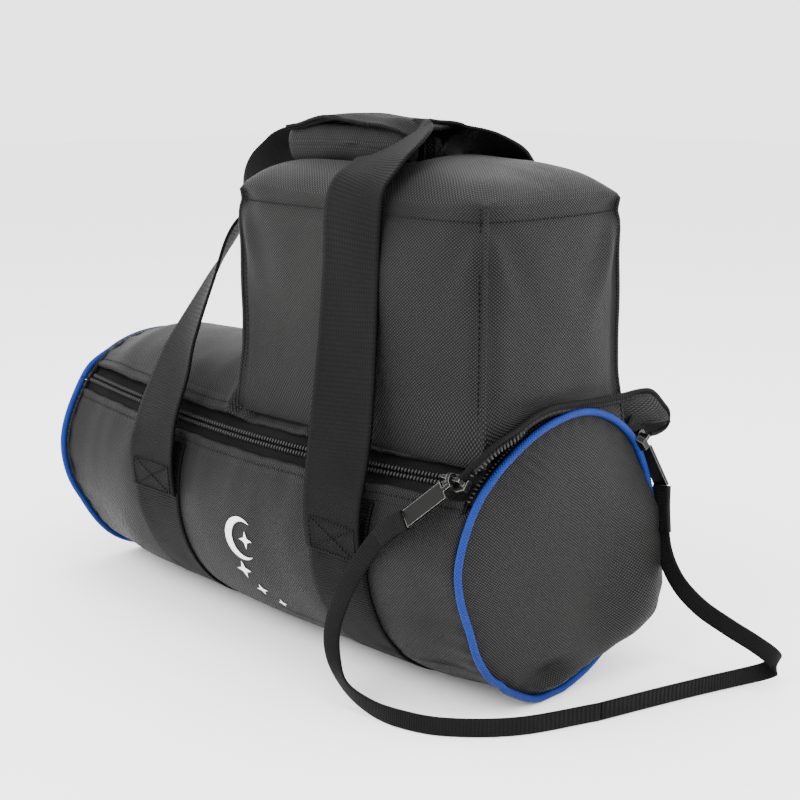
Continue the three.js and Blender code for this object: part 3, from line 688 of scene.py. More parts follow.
# The open end of the zip: past the sliders the rows part. The drum's row lies behind the near
# piping, and the lid's row is sewn under its bound near edge, which stands a little off the end.
lid_edge_route = [
    (0.1960, -0.0770, 0.1510), (0.2030, -0.0700, 0.1610), (0.2060, -0.0585, 0.1690),
    (0.2060, -0.0440, 0.1735), (0.2055, -0.0280, 0.1790), (0.2045, -0.0100, 0.1815),
    (0.2040, 0.0120, 0.1805), (0.2035, 0.0350, 0.1790), (0.2040, 0.0560, 0.1785),
    (0.2050, 0.0740, 0.1788), (0.2055, 0.0850, 0.1765), (0.2050, 0.0965, 0.1675),
    (0.2045, 0.1040, 0.1600), (0.2035, 0.1040, 0.1515), (0.2030, 0.0960, 0.1485),
    (0.2030, 0.0870, 0.1485),
]


def edge_spot(t):
    """A place along a bound edge with the direction along it and the one it faces."""
    outward = Vector((1, 0, 0))
    here = smooth_between(lid_edge_route, t)
    ahead = smooth_between(lid_edge_route, min(1, t + 0.01))
    along = (ahead - smooth_between(lid_edge_route, max(0, t - 0.01))).normalized()
    return here, along, (outward - along * outward.dot(along)).normalized()


def lid_teeth_spot(t):
    here, along, out = edge_spot(0.02 + 0.76 * t)
    down = along.cross(out)
    down = down if down.z < 0 else -down
    under = ease(0.22, 0.36, t)
    return here + down * (0.0040 + 0.0006 * under) + out * (0.0012 - 0.0036 * under), down, out


def drum_end_route(v):
    angle = 180 - 34 - (180 - 68) * v
    return on_section(0.1990, angle, read_table(near_rim, angle) - 0.0005)


def drum_teeth_spot(t):
    here, ahead = drum_end_route(t), drum_end_route(t + 0.01)
    along = (ahead - here).normalized()
    out = (here - Vector((here.x, 0, drum_middle.z))).normalized()
    across = Vector((-1, 0, 0))
    up = along.cross(across)
    return here + out * 0.0012 + across * 0.001, across, up * (1 if up.dot(out) > 0 else -1)


lid_end_teeth = add_teeth("lid_end_teeth", lid_teeth_spot, 60, coil_nylon)
sew_on(lid_end_teeth, "lid", "zip_coil", "near_upper_zip_coil")
drum_end_teeth = add_teeth("drum_end_teeth", drum_teeth_spot, 62, coil_nylon)
sew_on(drum_end_teeth, "root", "zip_coil", "near_lower_zip_coil")


def place_lid_end_tape(u, v):
    here, along, out = edge_spot(v)
    down = along.cross(out)
    down = down if down.z < 0 else -down
    narrow = 1 - 0.75 * ease(0.78, 0.88, v)
    return here + down * (0.0005 + 0.0042 * u * narrow) + out * 0.0002


def place_drum_end_tape(u, v):
    here = drum_end_route(v)
    out = (here - Vector((here.x, 0, drum_middle.z))).normalized()
    ruffle = 0.0007 * math.sin(v * 60) * (1 - u)
    return here + Vector((0.0030 - 0.0085 * u, 0, 0)) + out * (0.0006 * math.sin(u * 3) + ruffle - 0.0012 * u)


lid_end_tape = add_cloth("lid_end_tape", (4, 120), place_lid_end_tape, (0.006, 0.22), tape_weave, 0.0009)
sew_on(lid_end_tape, "lid", "zip_tape", "near_upper_zip_tape")
drum_end_tape = add_cloth("drum_end_tape", (6, 120), place_drum_end_tape, (0.0115, 0.17), tape_weave, 0.0009)
sew_on(drum_end_tape, "root", "zip_tape", "near_lower_zip_tape")

# The lid: the top of the drum in the same nylon, from zip to zip. The box is sewn down on it, which
# draws creases from the box's foot to the zip, and its near right corner flares off the drum.


def lid_radius(x, angle):
    radius = 0.0895 + (read_table(far_rim, angle) - 0.0895) * ease(-0.130, -0.2, x)
    radius -= 0.0010 * math.exp(-((x + 0.200) / 0.004) ** 2)
    radius += 0.0006 * math.exp(-(x + 0.200) / 0.012) * math.sin(math.radians(angle) * 30)
    side = abs(angle - 90)
    for foot, lean in ((-0.030, 0.5), (-0.012, -0.15), (0.192, -0.3), (0.050, 0.1)):
        line = x - foot - lean * 0.0009 * (side - 35)
        depth = 1.0 if foot < 0 else 0.5
        radius += 0.0042 * math.exp(-(line / 0.0045) ** 2) * ease(30, 44, side) * depth
        radius -= 0.0032 * math.exp(-((line - 0.009) / 0.006) ** 2) * ease(32, 44, side) * depth
    radius += 0.0075 * ease(58, 26, side) * ease(-0.2, -0.165, x) * ease(0.02, -0.04, x)
    return radius + wrinkles(x, angle, 0.0022) * ease(8, 30, side + (-x - 0.03) * 300)


def place_lid(u, v):
    x = -0.200 + 0.397 * v
    fold = zip_height(x) + 7.2
    angle = fold + (180 - 2 * fold) * u
    edge = min(u, 1 - u) * 84
    tuck = 0.0032 * math.exp(-edge / 1.3)
    point = on_section(x, angle, lid_radius(x, angle) - tuck)
    rise = ease(0.165, 0.199, x)
    target = smooth_between(lid_edge_route, min(1.0, max(0.0, (0.835 - 0.80 * u))))
    point += (target - point) * rise ** 2 * (0.96 if 0 < u < 1 else 0.7)
    return point


lid_skin = add_cloth("lid_skin", (110, 150), place_lid, (0.125, 0.397), ballistic_nylon, 0.0035, -1.0)
sew_on(lid_skin, "lid", "nylon", "lid_wrap")

binding_weave = ribbed_webbing("binding_weave", 0.0013, 0.001, (0.001, 0.001, 0.001), (0.0105, 0.01, 0.01))
lid_binding = add_tube("lid_binding", lambda v: smooth_between(lid_edge_route, min(1.0, v)), 0.0015, 0.22,
                       binding_weave, 140, 10)
sew_on(lid_binding, "lid", "zip_tape")

# The corner tab: brushed lining cloth turned out at the lid's near right corner, where the zip tape
# ends. Its nap is matt and a little fuzzy.


def brushed_cloth(name, dark, light):
    material, tree, shader = new_material(name, 0.95, light)
    nap = add_noise(tree, 700.0, 5.0, 0.7)
    color_between(tree, shader, add_math(tree, "POWER", nap, 2.2), dark, light)
    add_bump(tree, shader, nap, 0.0012)
    set_gloss(shader, 0.08, 0.04, 0.6)
    return material


brushed_lining = brushed_cloth("brushed_lining", (0.0007, 0.0007, 0.0007), (0.0090, 0.0087, 0.0090))


def place_corner(u, v):
    here, along, out = edge_spot(0.66 + 0.33 * v)
    inward = (Vector((0.1985, 0.066, 0.152)) - here)
    sag = Vector((-0.003 * math.sin(u * math.pi), 0, 0))
    return here + inward * (0.02 + 0.86 * u) + sag + Vector((0.0008, 0, 0)) * noise.noise(here * 300)


corner_cloth = add_cloth("corner_cloth", (16, 40), place_corner, (0.03, 0.06), brushed_lining, 0.0016)
sew_on(corner_cloth, "lid", "lining")

# The welts: the nylon's edges folded over and stitched down beside the zip, one above and one
# below it on each side.
thread_nylon = plain_nylon("thread_nylon", 0.6, 500.0, 3.0, (0.0008, 0.0008, 0.0008),
                           (0.0060, 0.0058, 0.0058), 0.08)


def add_stitches(name, line, count, thickness=0.00032, share=0.62):
    """A row of lock stitches: line gives a point at t; each stitch is a short flattened bead."""
    shape = bmesh.new()
    for number in range(count):
        start, end = line(number / count), line((number + share) / count)
        length = (end - start).length / 2
        if length < 1e-6:
            continue
        turn = (end - start).to_track_quat("X", "Z").to_matrix().to_4x4()
        bmesh.ops.create_uvsphere(shape, u_segments=6, v_segments=4, radius=1.0,
                                  matrix=Matrix.Translation((start + end) / 2) @ turn
                                  @ Matrix.Diagonal((length, thickness, thickness, 1.0)))
    return finish_piece(name, shape, thread_nylon)


def add_welt(name, side, half, body, node):
    low_x, high_x = -0.199, (0.196 if half < 0 else 0.180)

    def skin(x, offset):
        above = zip_height(x) + offset
        angle = above if side > 0 else 180 - above
        return skin_radius(x, angle) if half < 0 else lid_radius(x, angle)

    def place(u, v):
        x = low_x + (high_x - low_x) * v
        if u < 0.3:
            swing = u / 0.3
            offset = 7.4 - 1.1 * math.sin(swing * math.pi)
            lift = -0.0032 + 0.0052 * swing
        else:
            swing = (u - 0.3) / 0.7
            offset = 7.4 + 6.0 * swing
            lift = 0.0020 - 0.0016 * swing ** 0.7 - 0.0005 * math.exp(-((offset - 10.2) / 0.35) ** 2)
        wave = 0.0004 * math.sin(x * 130 + side) + 0.0003 * math.sin(x * 310)
        offset = half * (offset + wave * 420)
        return zip_side(side, x, offset, skin(x, offset) + lift - 0.0004)
    shape = add_cloth_grid(14, 150, place, (0.012, 0.397))
    welt = thicken(finish_piece(name, shape, ballistic_nylon), 0.0009, -1.0)
    sew_on(welt, body, "nylon", node)

    def seam(t):
        x = low_x + (high_x - low_x) * t
        return zip_side(side, x, half * 10.2, skin(x, half * 10.2) + 0.0010)
    stitches = add_stitches(name + "_stitches", seam, 120)
    sew_on(stitches, body, "nylon")


add_welt("left_low_welt", -1, -1, "root", "left_lower_welt")
add_welt("right_low_welt", 1, -1, "root", "right_lower_welt")
add_welt("left_high_welt", -1, 1, "lid", "left_upper_welt")
add_welt("right_high_welt", 1, 1, "lid", "right_upper_welt")

# The lining: a thin black cloth inside the drum and under the lid, seen when the lid is up.


def place_drum_lining(u, v):
    x = -0.1985 + 0.397 * v
    angle = drum_arc(u, 7.0, 7.0, x)
    radius = min(0.0806, skin_radius(x, angle) - 0.0055) + 0.0006 * noise.noise(Vector((x * 40, u * 14, 0)))
    turn = math.radians(angle)
    return Vector((x, radius * math.cos(turn), max(drum_middle.z + radius * math.sin(turn), 0.0120)))


drum_lining = add_cloth("drum_inside", (90, 60), place_drum_lining, (0.42, 0.40), brushed_lining,
                        0.0010, -1.0, inward=True)
sew_on(drum_lining, "root", "lining", "drum_lining")


def place_lid_lining(u, v):
    x = -0.1985 + 0.394 * v
    fold = zip_height(x) + 7.0
    angle = fold + (180 - 2 * fold) * u
    return on_section(x, angle, 0.0812 + 0.0006 * noise.noise(Vector((x * 40, u * 9, 3))))


lid_lining = add_cloth("lid_inside", (50, 60), place_lid_lining, (0.12, 0.394), brushed_lining,
                       0.0010, -1.0, inward=True)
sew_on(lid_lining, "lid", "lining", "lid_lining")


# The lid's hinge: the nylon at the far end is one piece inside the panel's seam.


def place_hinge(u, v):
    z = 0.1300 + 0.0300 * v
    half = math.sqrt(max(0.0, 0.0868 ** 2 - (z - drum_middle.z) ** 2)) * 0.985
    return Vector((-0.2035 - 0.0030 * math.sin(v * math.pi), half * (2 * u - 1), z))


hinge_cloth = add_cloth("hinge_cloth", (50, 24), place_hinge, (0.14, 0.03), ballistic_nylon, 0.0016)
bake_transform(hinge_cloth)

# The box: five panels of the same nylon over foam, sewn to the lid. Its walls are stuffed and swell
# between the corner seams, its top is crowned, and a seam runs round it a little below the crown.
box_low = Vector((-0.0225, -0.0605, 0.163))
box_high = Vector((0.1985, 0.0605, 0.3000))
box_rise = 0.0170
box_step = 0.0050
seam_drop = 0.0085
lid_outside = 0.0893


def make_box_shell():
    """A closed box as a fine even mesh with its weave laid flat on each wall."""
    shape = bmesh.new()
    uv_layer = shape.loops.layers.uv.new("weave")
    size = box_high - box_low
    middle = (box_high + box_low) / 2
    bmesh.ops.create_cube(shape, size=1.0, matrix=Matrix.Translation(middle) @ Matrix.Diagonal((*size, 1.0)))
    for axis in range(3):
        cuts = int(size[axis] / box_step) - 1
        along = [edge for edge in shape.edges
                 if abs((edge.verts[0].co - edge.verts[1].co).normalized()[axis]) > 0.9]
        bmesh.ops.subdivide_edges(shape, edges=along, cuts=cuts, use_grid_fill=True)
    shape.normal_update()
    for face in shape.faces:
        axis = max(range(3), key=lambda i: abs(face.normal[i]))
        flat = [i for i in range(3) if i != axis]
        for loop in face.loops:
            spread = loop.vert.co[flat[0]], loop.vert.co[flat[1]]
            loop[uv_layer].uv = (spread[0] + 0.31 * axis, spread[1])
    return shape


def wall_shares(point):
    """How far a point is across the box on each axis, from -1 to 1."""
    middle, half = (box_high + box_low) / 2, (box_high - box_low) / 2
    return Vector([(point[i] - middle[i]) / half[i] for i in range(3)])


def shape_box_wall(point):
    """Where a point of the flat box starts before the cloth is let swell."""
    shares = wall_shares(point)
    x, y, z = shares
    up = max(0.0, z)
    crown = (1 - abs(x) ** 9) * (1 - abs(y) ** 5.5)
    moved = point.copy()
    if z > 0.999:
        moved.z += box_rise * crown
    low = ease(-0.55, -1.0, z)
    if abs(y) > 0.999:
        moved.y += math.copysign(0.0015 * (1 - x ** 2) * (1 - z ** 2) - 0.0035 * low, y)
    if abs(x) > 0.999:
        moved.x += math.copysign(0.0020 * (1 - y ** 2) * (1 - z ** 2) - 0.0040 * low, x)
    corner = ease(0.90, 1.0, abs(x)) * ease(0.86, 1.0, abs(y))
    moved.x -= math.copysign(0.0016 * corner * (0.35 + 0.65 * up), x)
    moved.y -= math.copysign(0.0016 * corner * (0.35 + 0.65 * up), y)
    edge = ease(0.9, 1.0, z) * max(ease(0.88, 1.0, abs(y)), ease(0.93, 1.0, abs(x)))
    moved.z += 0.0012 * edge * math.sin(point.x * 70 + 1.1) - 0.0010 * edge
    if z < -0.999:
        moved.z = drum_middle.z + math.sqrt(max(0.0, lid_outside ** 2 - moved.y ** 2))
    elif z < -0.6:
        foot = drum_middle.z + math.sqrt(max(0.0, lid_outside ** 2 - moved.y ** 2))
        moved.z = moved.z + (foot - box_low.z) * ease(-0.6, -1.0, z)
    return moved


box_shape = make_box_shell()
for vert in box_shape.verts:
    vert.co = shape_box_wall(vert.co)
box_skin = finish_piece("box_skin", box_shape, ballistic_nylon)
seam_group = box_skin.vertex_groups.new(name="sewn")
flat_shape = make_box_shell()
box_shares = [wall_shares(vert.co) for vert in flat_shape.verts]
flat_shape.free()
for index, shares in enumerate(box_shares):
    at_edge = sorted((abs(part) for part in shares), reverse=True)
    sewn = 1.0 if shares.z < -0.93 else 0.75 * ease(0.955, 1.0, at_edge[1])
    seam_group.add([index], sewn, "REPLACE")


def let_swell(piece, pressure, cap, frames=20, pinned="sewn"):
    """Stuffs a piece: its cloth is blown out from within, and no point moves further than the cap."""
    start = [vert.co.copy() for vert in piece.data.vertices]
    cloth = piece.modifiers.new("stuffing", "CLOTH")
    cloth.settings.use_pressure = True
    cloth.settings.uniform_pressure_force = pressure
    cloth.settings.tension_stiffness = 12
    cloth.settings.compression_stiffness = 12
    cloth.settings.bending_stiffness = 0.4
    cloth.settings.quality = 6
    cloth.settings.vertex_group_mass = pinned
    cloth.settings.effector_weights.gravity = 0.0
    cloth.point_cache.frame_start, cloth.point_cache.frame_end = 1, frames
    scene = bpy.context.scene
    for frame_number in range(1, frames + 1):
        scene.frame_set(frame_number)
    swollen = piece.evaluated_get(bpy.context.evaluated_depsgraph_get()).to_mesh()
    moved = [vert.co.copy() for vert in swollen.vertices]
    piece.to_mesh_clear()
    piece.modifiers.remove(cloth)
    scene.frame_set(1)
    for vert, before, after in zip(piece.data.vertices, start, moved):
        shift = after - before
        if shift.length > cap:
            shift = shift * (cap / shift.length)
        vert.co = before + shift


let_swell(box_skin, 4.0, 0.0050)


def crease_box():
    """The seam below the crown, the pinched corners and the pulls that run from them."""
    mesh = box_skin.data
    mesh.update()
    normals = [vert.normal.copy() for vert in mesh.vertices]
    seam_share = wall_shares(Vector((0, 0, box_high.z - seam_drop))).z
    for vert, normal, shares in zip(mesh.vertices, normals, box_shares):
        x, y, z = shares
        on_wall = max(abs(x), abs(y)) > 0.98 and z < 0.999
        push = 0.0
        height = (z - seam_share) * (box_high.z - box_low.z) / 2
        if on_wall:
            push -= 0.0022 * math.exp(-(height / 0.0034) ** 2)
            push += 0.0013 * math.exp(-((height - 0.0058) / 0.0030) ** 2)
        across = abs(x) if abs(y) > 0.98 else abs(y)
        length = (1 - across) * (0.1085 if abs(y) > 0.98 else 0.0585)
        if on_wall and across < 0.999:
            push -= 0.0020 * math.exp(-((length - 0.0060) / 0.0040) ** 2) * (0.6 + 0.4 * max(0, z))
            pull = length * 0.9 - (seam_share - z) * 0.030
            higher = ease(-0.3, 0.75, z)
            push += 0.0042 * (math.exp(-(pull / 0.006) ** 2) * higher * math.exp(-length / 0.030))
            push -= 0.0030 * math.exp(-((pull - 0.011) / 0.008) ** 2) * higher * math.exp(-length / 0.035)
        if length < 0.05 and on_wall:
            push -= 0.0022 * math.exp(-((length - 0.0045) / 0.0035) ** 2) * ease(-1.0, -0.5, z)
        ripple = noise.noise(Vector((vert.co.x * 15 + vert.co.z * 8, vert.co.y * 15, vert.co.z * 13)))
        small = noise.noise(Vector((vert.co.x * 42, vert.co.y * 42 + 3, vert.co.z * 30)))
        push += 0.0019 * ripple + 0.0007 * small
        vert.co += normal * push
        under_grip = (ease(0.030, 0.020, abs(vert.co.y)) * ease(-0.045, -0.030, vert.co.x)
                      * ease(0.112, 0.100, vert.co.x))
        if z > 0.999:
            vert.co.z -= under_grip * max(0.0, vert.co.z - 0.3110)
    mesh.update()


crease_box()
smoother = box_skin.modifiers.new("soft", "SUBSURF")
smoother.levels = smoother.render_levels = 1
sewn_box = box_skin.evaluated_get(bpy.context.evaluated_depsgraph_get()).to_mesh()
box_spots = [vert.co.copy() for vert in sewn_box.vertices[:len(box_shares)]]
box_skin.to_mesh_clear()
sew_on(box_skin, "lid", "nylon", "box_left_panel", "box_right_panel", "box_far_panel", "box_near_panel",
       "box_top_panel")

# The box's seams: each corner and the line below the crown is a folded seam with a fine raised lip
# and a row of stitches beside it.
box_points = {}
for spot, shares in zip(box_spots, box_shares):
    box_points[tuple(round(part, 3) for part in shares)] = spot


def along_box(fixed):
    """The box's own points along one line, in order. fixed holds two of the three shares."""
    line = [(key, point) for key, point in box_points.items()
            if all(abs(key[axis] - value) < 0.02 for axis, value in fixed.items())]
    free = [axis for axis in range(3) if axis not in fixed][0]
    return [point for key, point in sorted(line, key=lambda item: item[0][free])]


def add_lip(name, points, radius, body="lid"):
    lip = add_tube(name, lambda v: smooth_between(points, min(1.0, max(0.0, v))), radius, 0.13,
                   ballistic_nylon, len(points) * 3, 8)
    sew_on(lip, body, "nylon")


for side_x in (-1, 1):
    for side_y in (-1, 1):
        add_lip(f"corner_lip_{side_x}_{side_y}", along_box({0: side_x, 1: side_y}), 0.0014)


def box_line(inward):
    """The four runs of the seam below the crown, sampled on the finished walls."""
    level = wall_shares(Vector((0, 0, box_high.z - seam_drop))).z
    levels = sorted({key[2] for key in box_points}, key=lambda value: abs(value - level))
    runs = []
    for axis, value in ((0, 1), (0, -1), (1, 1), (1, -1)):
        points = [(key, point) for key, point in box_points.items()
                  if key[2] == levels[0] and abs(key[axis] - value) < 0.02]
        points.sort(key=lambda item: item[0][1 - axis])
        outward = Vector((value, 0, 0)) if axis == 0 else Vector((0, value, 0))
        runs.append([point + outward * inward for key, point in points])
    return runs


for number, run in enumerate(box_line(0.0003)):
    stitches = add_stitches(f"crown_stitches_{number}", lambda t, run=run: smooth_between(run, t),
                            int(len(run) * box_step / 0.0030), 0.00038, 0.8)
    sew_on(stitches, "lid", "nylon")

for side_x in (-1, 1):
    for side_y in (-1, 1):
        corner = along_box({0: side_x, 1: side_y})
        beside = [point + Vector((-side_x * 0.0042, side_y * 0.0004, 0)) for point in corner]
        stitches = add_stitches(f"corner_stitches_{side_x}_{side_y}",
                                lambda t, run=beside: smooth_between(run, t), 44, 0.0004, 0.7)
        sew_on(stitches, "lid", "nylon")

# The base straps: heavy ribbed webbing sewn round under the drum from one handle root to the other.
strap_width = 0.050
strap_thickness = 0.0019
strap_webbing = ribbed_webbing("strap_webbing", 0.0019, 0.0015, (0.0003, 0.0003, 0.0003),
                               (0.0034, 0.0033, 0.0032), 0.6)


def add_base_strap(name, middle_x, node):
    def place(u, v):
        x = middle_x + strap_width * (u - 0.5)
        angle = 24 - (24 + 204) * v
        edge = 0.0004 * (2 * abs(u - 0.5)) ** 6
        turn = math.radians(angle)
        radius = skin_radius(x, angle) + 0.0012 - edge
        return Vector((x, radius * math.cos(turn), max(drum_middle.z + radius * math.sin(turn), 0.0012)))
    shape = add_cloth_grid(14, 150, place, (strap_width, 0.36))
    strap = thicken(finish_piece(name, shape, strap_webbing), strap_thickness, 0.0)
    sew_on(strap, "root", "webbing", node)


add_base_strap("near_under_strap", near_strap_x, "near_base_strap")
add_base_strap("far_under_strap", far_strap_x, "far_base_strap")

# The handles: two loops of the same webbing. Each is sewn to the drum at both ends under a stitched
# box, climbs past the box, and turns on its side to pass through the grip over the top.
handle_route = [
    ((-0.082, 0.0922, 0.088), (1, 0, 0), 0.05),
    ((-0.082, 0.0937, 0.106), (1, 0, 0), 0.05),
    ((-0.0812, 0.0925, 0.122), (1, 0.02, 0.03), 0.05),
    ((-0.081, 0.0865, 0.143), (0.98, 0.06, 0.1), 0.05),
    ((-0.078, 0.077, 0.168), (0.95, 0.12, 0.16), 0.049),
    ((-0.074, 0.067, 0.195), (0.9, 0.25, 0.12), 0.046),
    ((-0.068, 0.048, 0.232), (0.78, 0.45, 0.05), 0.043),
    ((-0.058, 0.031, 0.268), (0.6, 0.62, 0.05), 0.042),
    ((-0.048, 0.016, 0.299), (0.55, 0.1, -0.52), 0.038),
    ((-0.038, 0.008, 0.316), (0.3, 0, -0.92), 0.031),
    ((-0.027, 0.0045, 0.323), (0.05, 0, -1), 0.024),
    ((0, 0.0042, 0.3235), (0, 0, -1), 0.023),
    ((0.037, 0.0042, 0.3235), (0, 0, -1), 0.023),
    ((0.075, 0.0042, 0.3235), (0, 0, -1), 0.023),
    ((0.095, 0.006, 0.324), (-0.1, 0.05, -1), 0.027),
    ((0.106, 0.011, 0.326), (-0.4, -0.05, -0.88), 0.035),
    ((0.11, 0.0225, 0.3285), (-0.88, -0.08, -0.4), 0.047),
    ((0.108, 0.037, 0.326), (-1, -0.06, -0.16), 0.05),
    ((0.1025, 0.053, 0.3165), (-1, -0.1, -0.08), 0.05),
    ((0.098, 0.065, 0.298), (-1, -0.04, -0.06), 0.05),
    ((0.095, 0.066, 0.255), (-1, 0, 0.02), 0.05),
    ((0.0975, 0.0715, 0.215), (-1, 0.02, 0.05), 0.05),
    ((0.101, 0.079, 0.175), (-1, 0.02, 0.08), 0.05),
    ((0.1045, 0.087, 0.143), (-1, 0.02, 0.06), 0.05),
    ((0.1065, 0.0926, 0.122), (-1, 0, 0.02), 0.05),
    ((0.107, 0.0938, 0.106), (-1, 0, 0), 0.05),
    ((0.107, 0.0922, 0.088), (-1, 0, 0), 0.05),
]


def handle_strip(name, side, node):
    route = []
    for p, w, width in handle_route:
        forward = 0.019 * ease(0.060, 0.112, p[0]) * ease(0.050, 0.020, p[1])
        route.append((Vector((p[0] - forward, p[1] * side, p[2])), Vector((w[0], w[1] * side, w[2])), width))
    last = len(route) - 1

    def place(u, v):
        centre, across, normal = route_frame(route, v)
        i = min(int(v * last), last - 1)
        f = v * last - i
        width = route[i][2] + (route[i + 1][2] - route[i][2]) * f * f * (3 - 2 * f)
        edge = 2 * u - 1
        squeeze = (strap_width - width) / strap_width
        fold = 0.010 * squeeze * math.cos(edge * math.pi * 0.9)
        wave = 0.0007 * math.sin(v * 40 + edge * 1.5) * ease(0.06, 0.12, v) * ease(0.94, 0.88, v)
        bow = 0.0004 * abs(edge) ** 6
        return centre + across * (edge * width / 2) + normal * (fold * 0.35 + wave - bow)
    length, _ = route_length(route)
    shape = add_cloth_grid(16, 330, place, (strap_width, length))
    strip = thicken(finish_piece(name, shape, strap_webbing), strap_thickness, 0.0)
    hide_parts(node)
    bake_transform(strip)
    return strip


left_handle_strip = handle_strip("left_handle_strip", -1, "left_handle_webbing")
right_handle_strip = handle_strip("right_handle_strip", 1, "right_handle_webbing")


def add_root_box(name, side, middle_x):
    """The stitched box at a handle's root: a rectangle with its two diagonals, sunk in the webbing."""
    low, high, half = 0.0885, 0.1085, 0.0205

    def spot(across, up):
        z = low + (high - low) * up
        y = 0.0922 + 0.0015 * math.sin((z - 0.088) / 0.018 * 1.2) + 0.0013
        return Vector((middle_x + half * across, side * y, z))
    corners = [(-1, 0), (1, 0), (1, 1), (-1, 1), (-1, 0), (1, 1), (1, 0), (-1, 1)]
    for number, (start, end) in enumerate(zip(corners, corners[1:])):
        count = max(4, int((spot(*end) - spot(*start)).length / 0.0027))
        stitches = add_stitches(f"{name}_{number}", lambda t, a=start, b=end: spot(a[0] + (b[0] - a[0]) * t,
                                a[1] + (b[1] - a[1]) * t), count, 0.0005, 0.75)
        sew_on(stitches, "root", "webbing")


for side in (-1, 1):
    for middle_x in (far_strap_x, near_strap_x):
        add_root_box(f"root_box_{side}_{int(middle_x * 1000)}", side, middle_x)

# The grip: a padded sleeve of nylon sewn on each handle where the two meet, bound round its edge,
# and a flap with a brushed face that wraps over both and holds them together.


def pad_section(turn, half_y, half_z, power=2.6):
    c, s = math.cos(turn), math.sin(turn)
    return (math.copysign(abs(c) ** (2 / power), c) * half_y,
            math.copysign(abs(s) ** (2 / power), s) * half_z)


grip_low_x, grip_high_x = -0.0265, 0.0935
grip_height = 0.3235


def add_grip_pad(name, side, body, node):
    def place(u, v):
        x = grip_low_x + (grip_high_x - grip_low_x) * v
        end = min(v, 1 - v) * (grip_high_x - grip_low_x)
        full = math.sin(min(1.0, end / 0.010) * math.pi / 2) ** 0.6
        y, z = pad_section(u * 2 * math.pi, 0.0061 * full + 0.0004, 0.0116 * full + 0.0003)
        arch = 0.0020 * math.sin(v * math.pi)
        crease = 0.0006 * noise.noise(Vector((x * 60, u * 6, side)))
        return Vector((x, side * (0.0103 + y + crease), grip_height + arch + z + crease))
    shape = add_cloth_grid(40, 60, place, (0.05, 0.12))
    bmesh.ops.remove_doubles(shape, verts=shape.verts, dist=2e-5)
    bmesh.ops.recalc_face_normals(shape, faces=shape.faces)
    pad = finish_piece(name, shape, ballistic_nylon)
    sew_on(pad, body, "grip", node)

    def bound_edge(v):
        turn = v * 2 * math.pi
        c, s = math.cos(turn), math.sin(turn)
        reach = math.copysign(abs(c) ** 0.35, c)
        x = (grip_low_x + grip_high_x) / 2 + reach * (grip_high_x - grip_low_x + 0.001) / 2
        z = math.copysign(abs(s) ** 0.5, s) * 0.0113
        arch = 0.0020 * math.sin((x - grip_low_x) / 0.12 * math.pi)
        return Vector((x, side * 0.0045, grip_height + z + arch))
    edging = add_tube(name + "_edging", bound_edge, 0.0011, 0.29, binding_weave, 160, 8, closed=True)
    sew_on(edging, body, "grip")


add_grip_pad("left_pad", -1, "left_handle", "left_grip_pad")
add_grip_pad("right_pad", 1, "right_handle", "right_grip_pad")

flap_low_x, flap_high_x = -0.0285, 0.1020


def flap_spot(u, v, lift=0.0):
    """The flap: from the right pad over the top, its far left corner curling up and away."""
    x = flap_low_x + (flap_high_x - flap_low_x) * v
    y = 0.0185 - 0.0370 * u
    rounded = 1 - 0.10 * math.exp(-v / 0.05) * (2 * u - 1) ** 2
    x = 0.037 + (x - 0.037) * rounded
    crown = 0.3388 + 0.0032 * math.sin(min(1.0, max(0.0, v)) * math.pi) - 0.0030 * ease(0.75, 1.0, v)
    droop = 0.0050 * ease(0.62, 1.0, u) * ease(0.25, 0.9, v) + 0.0042 * ease(0.25, 0.0, u)
    curl = -0.0050 * ease(0.45, 0.0, v) * ease(0.0, 0.6, u)
    wave = 0.0007 * math.sin(v * 14 + u * 3)
    return Vector((x, y, min(0.3442, crown - droop + curl + wave + lift)))


flap_cloth = add_cloth("flap_cloth", (26, 70), lambda u, v: flap_spot(u, v, 0.0008), (0.037, 0.130),
                       strap_webbing, 0.0018)
sew_on(flap_cloth, "grip_flap", "grip", "grip_flap")
flap_nap = add_cloth("flap_nap", (22, 60), lambda u, v: flap_spot(0.05 + 0.9 * u, 0.03 + 0.94 * v, -0.0008),
                     (0.033, 0.12), brushed_lining, 0.0012)
sew_on(flap_nap, "grip_flap", "grip")


def flap_rim(v):
    turn = v * 2 * math.pi
    c, s = math.cos(turn), math.sin(turn)
    u = 0.5 + 0.5 * math.copysign(abs(s) ** 0.6, s)
    along = 0.5 + 0.5 * math.copysign(abs(c) ** 0.35, c)
    return flap_spot(u, along, 0.0006)


flap_edging = add_tube("flap_edging", flap_rim, 0.0013, 0.33, binding_weave, 180, 8, closed=True)
sew_on(flap_edging, "grip_flap", "grip")

# The sliders and pull tabs: cast and plated in black. The plating has rubbed bright on the edges of
# the tabs and on the bridges, and each tab is closed at its end by the stitched fold of the ribbon.


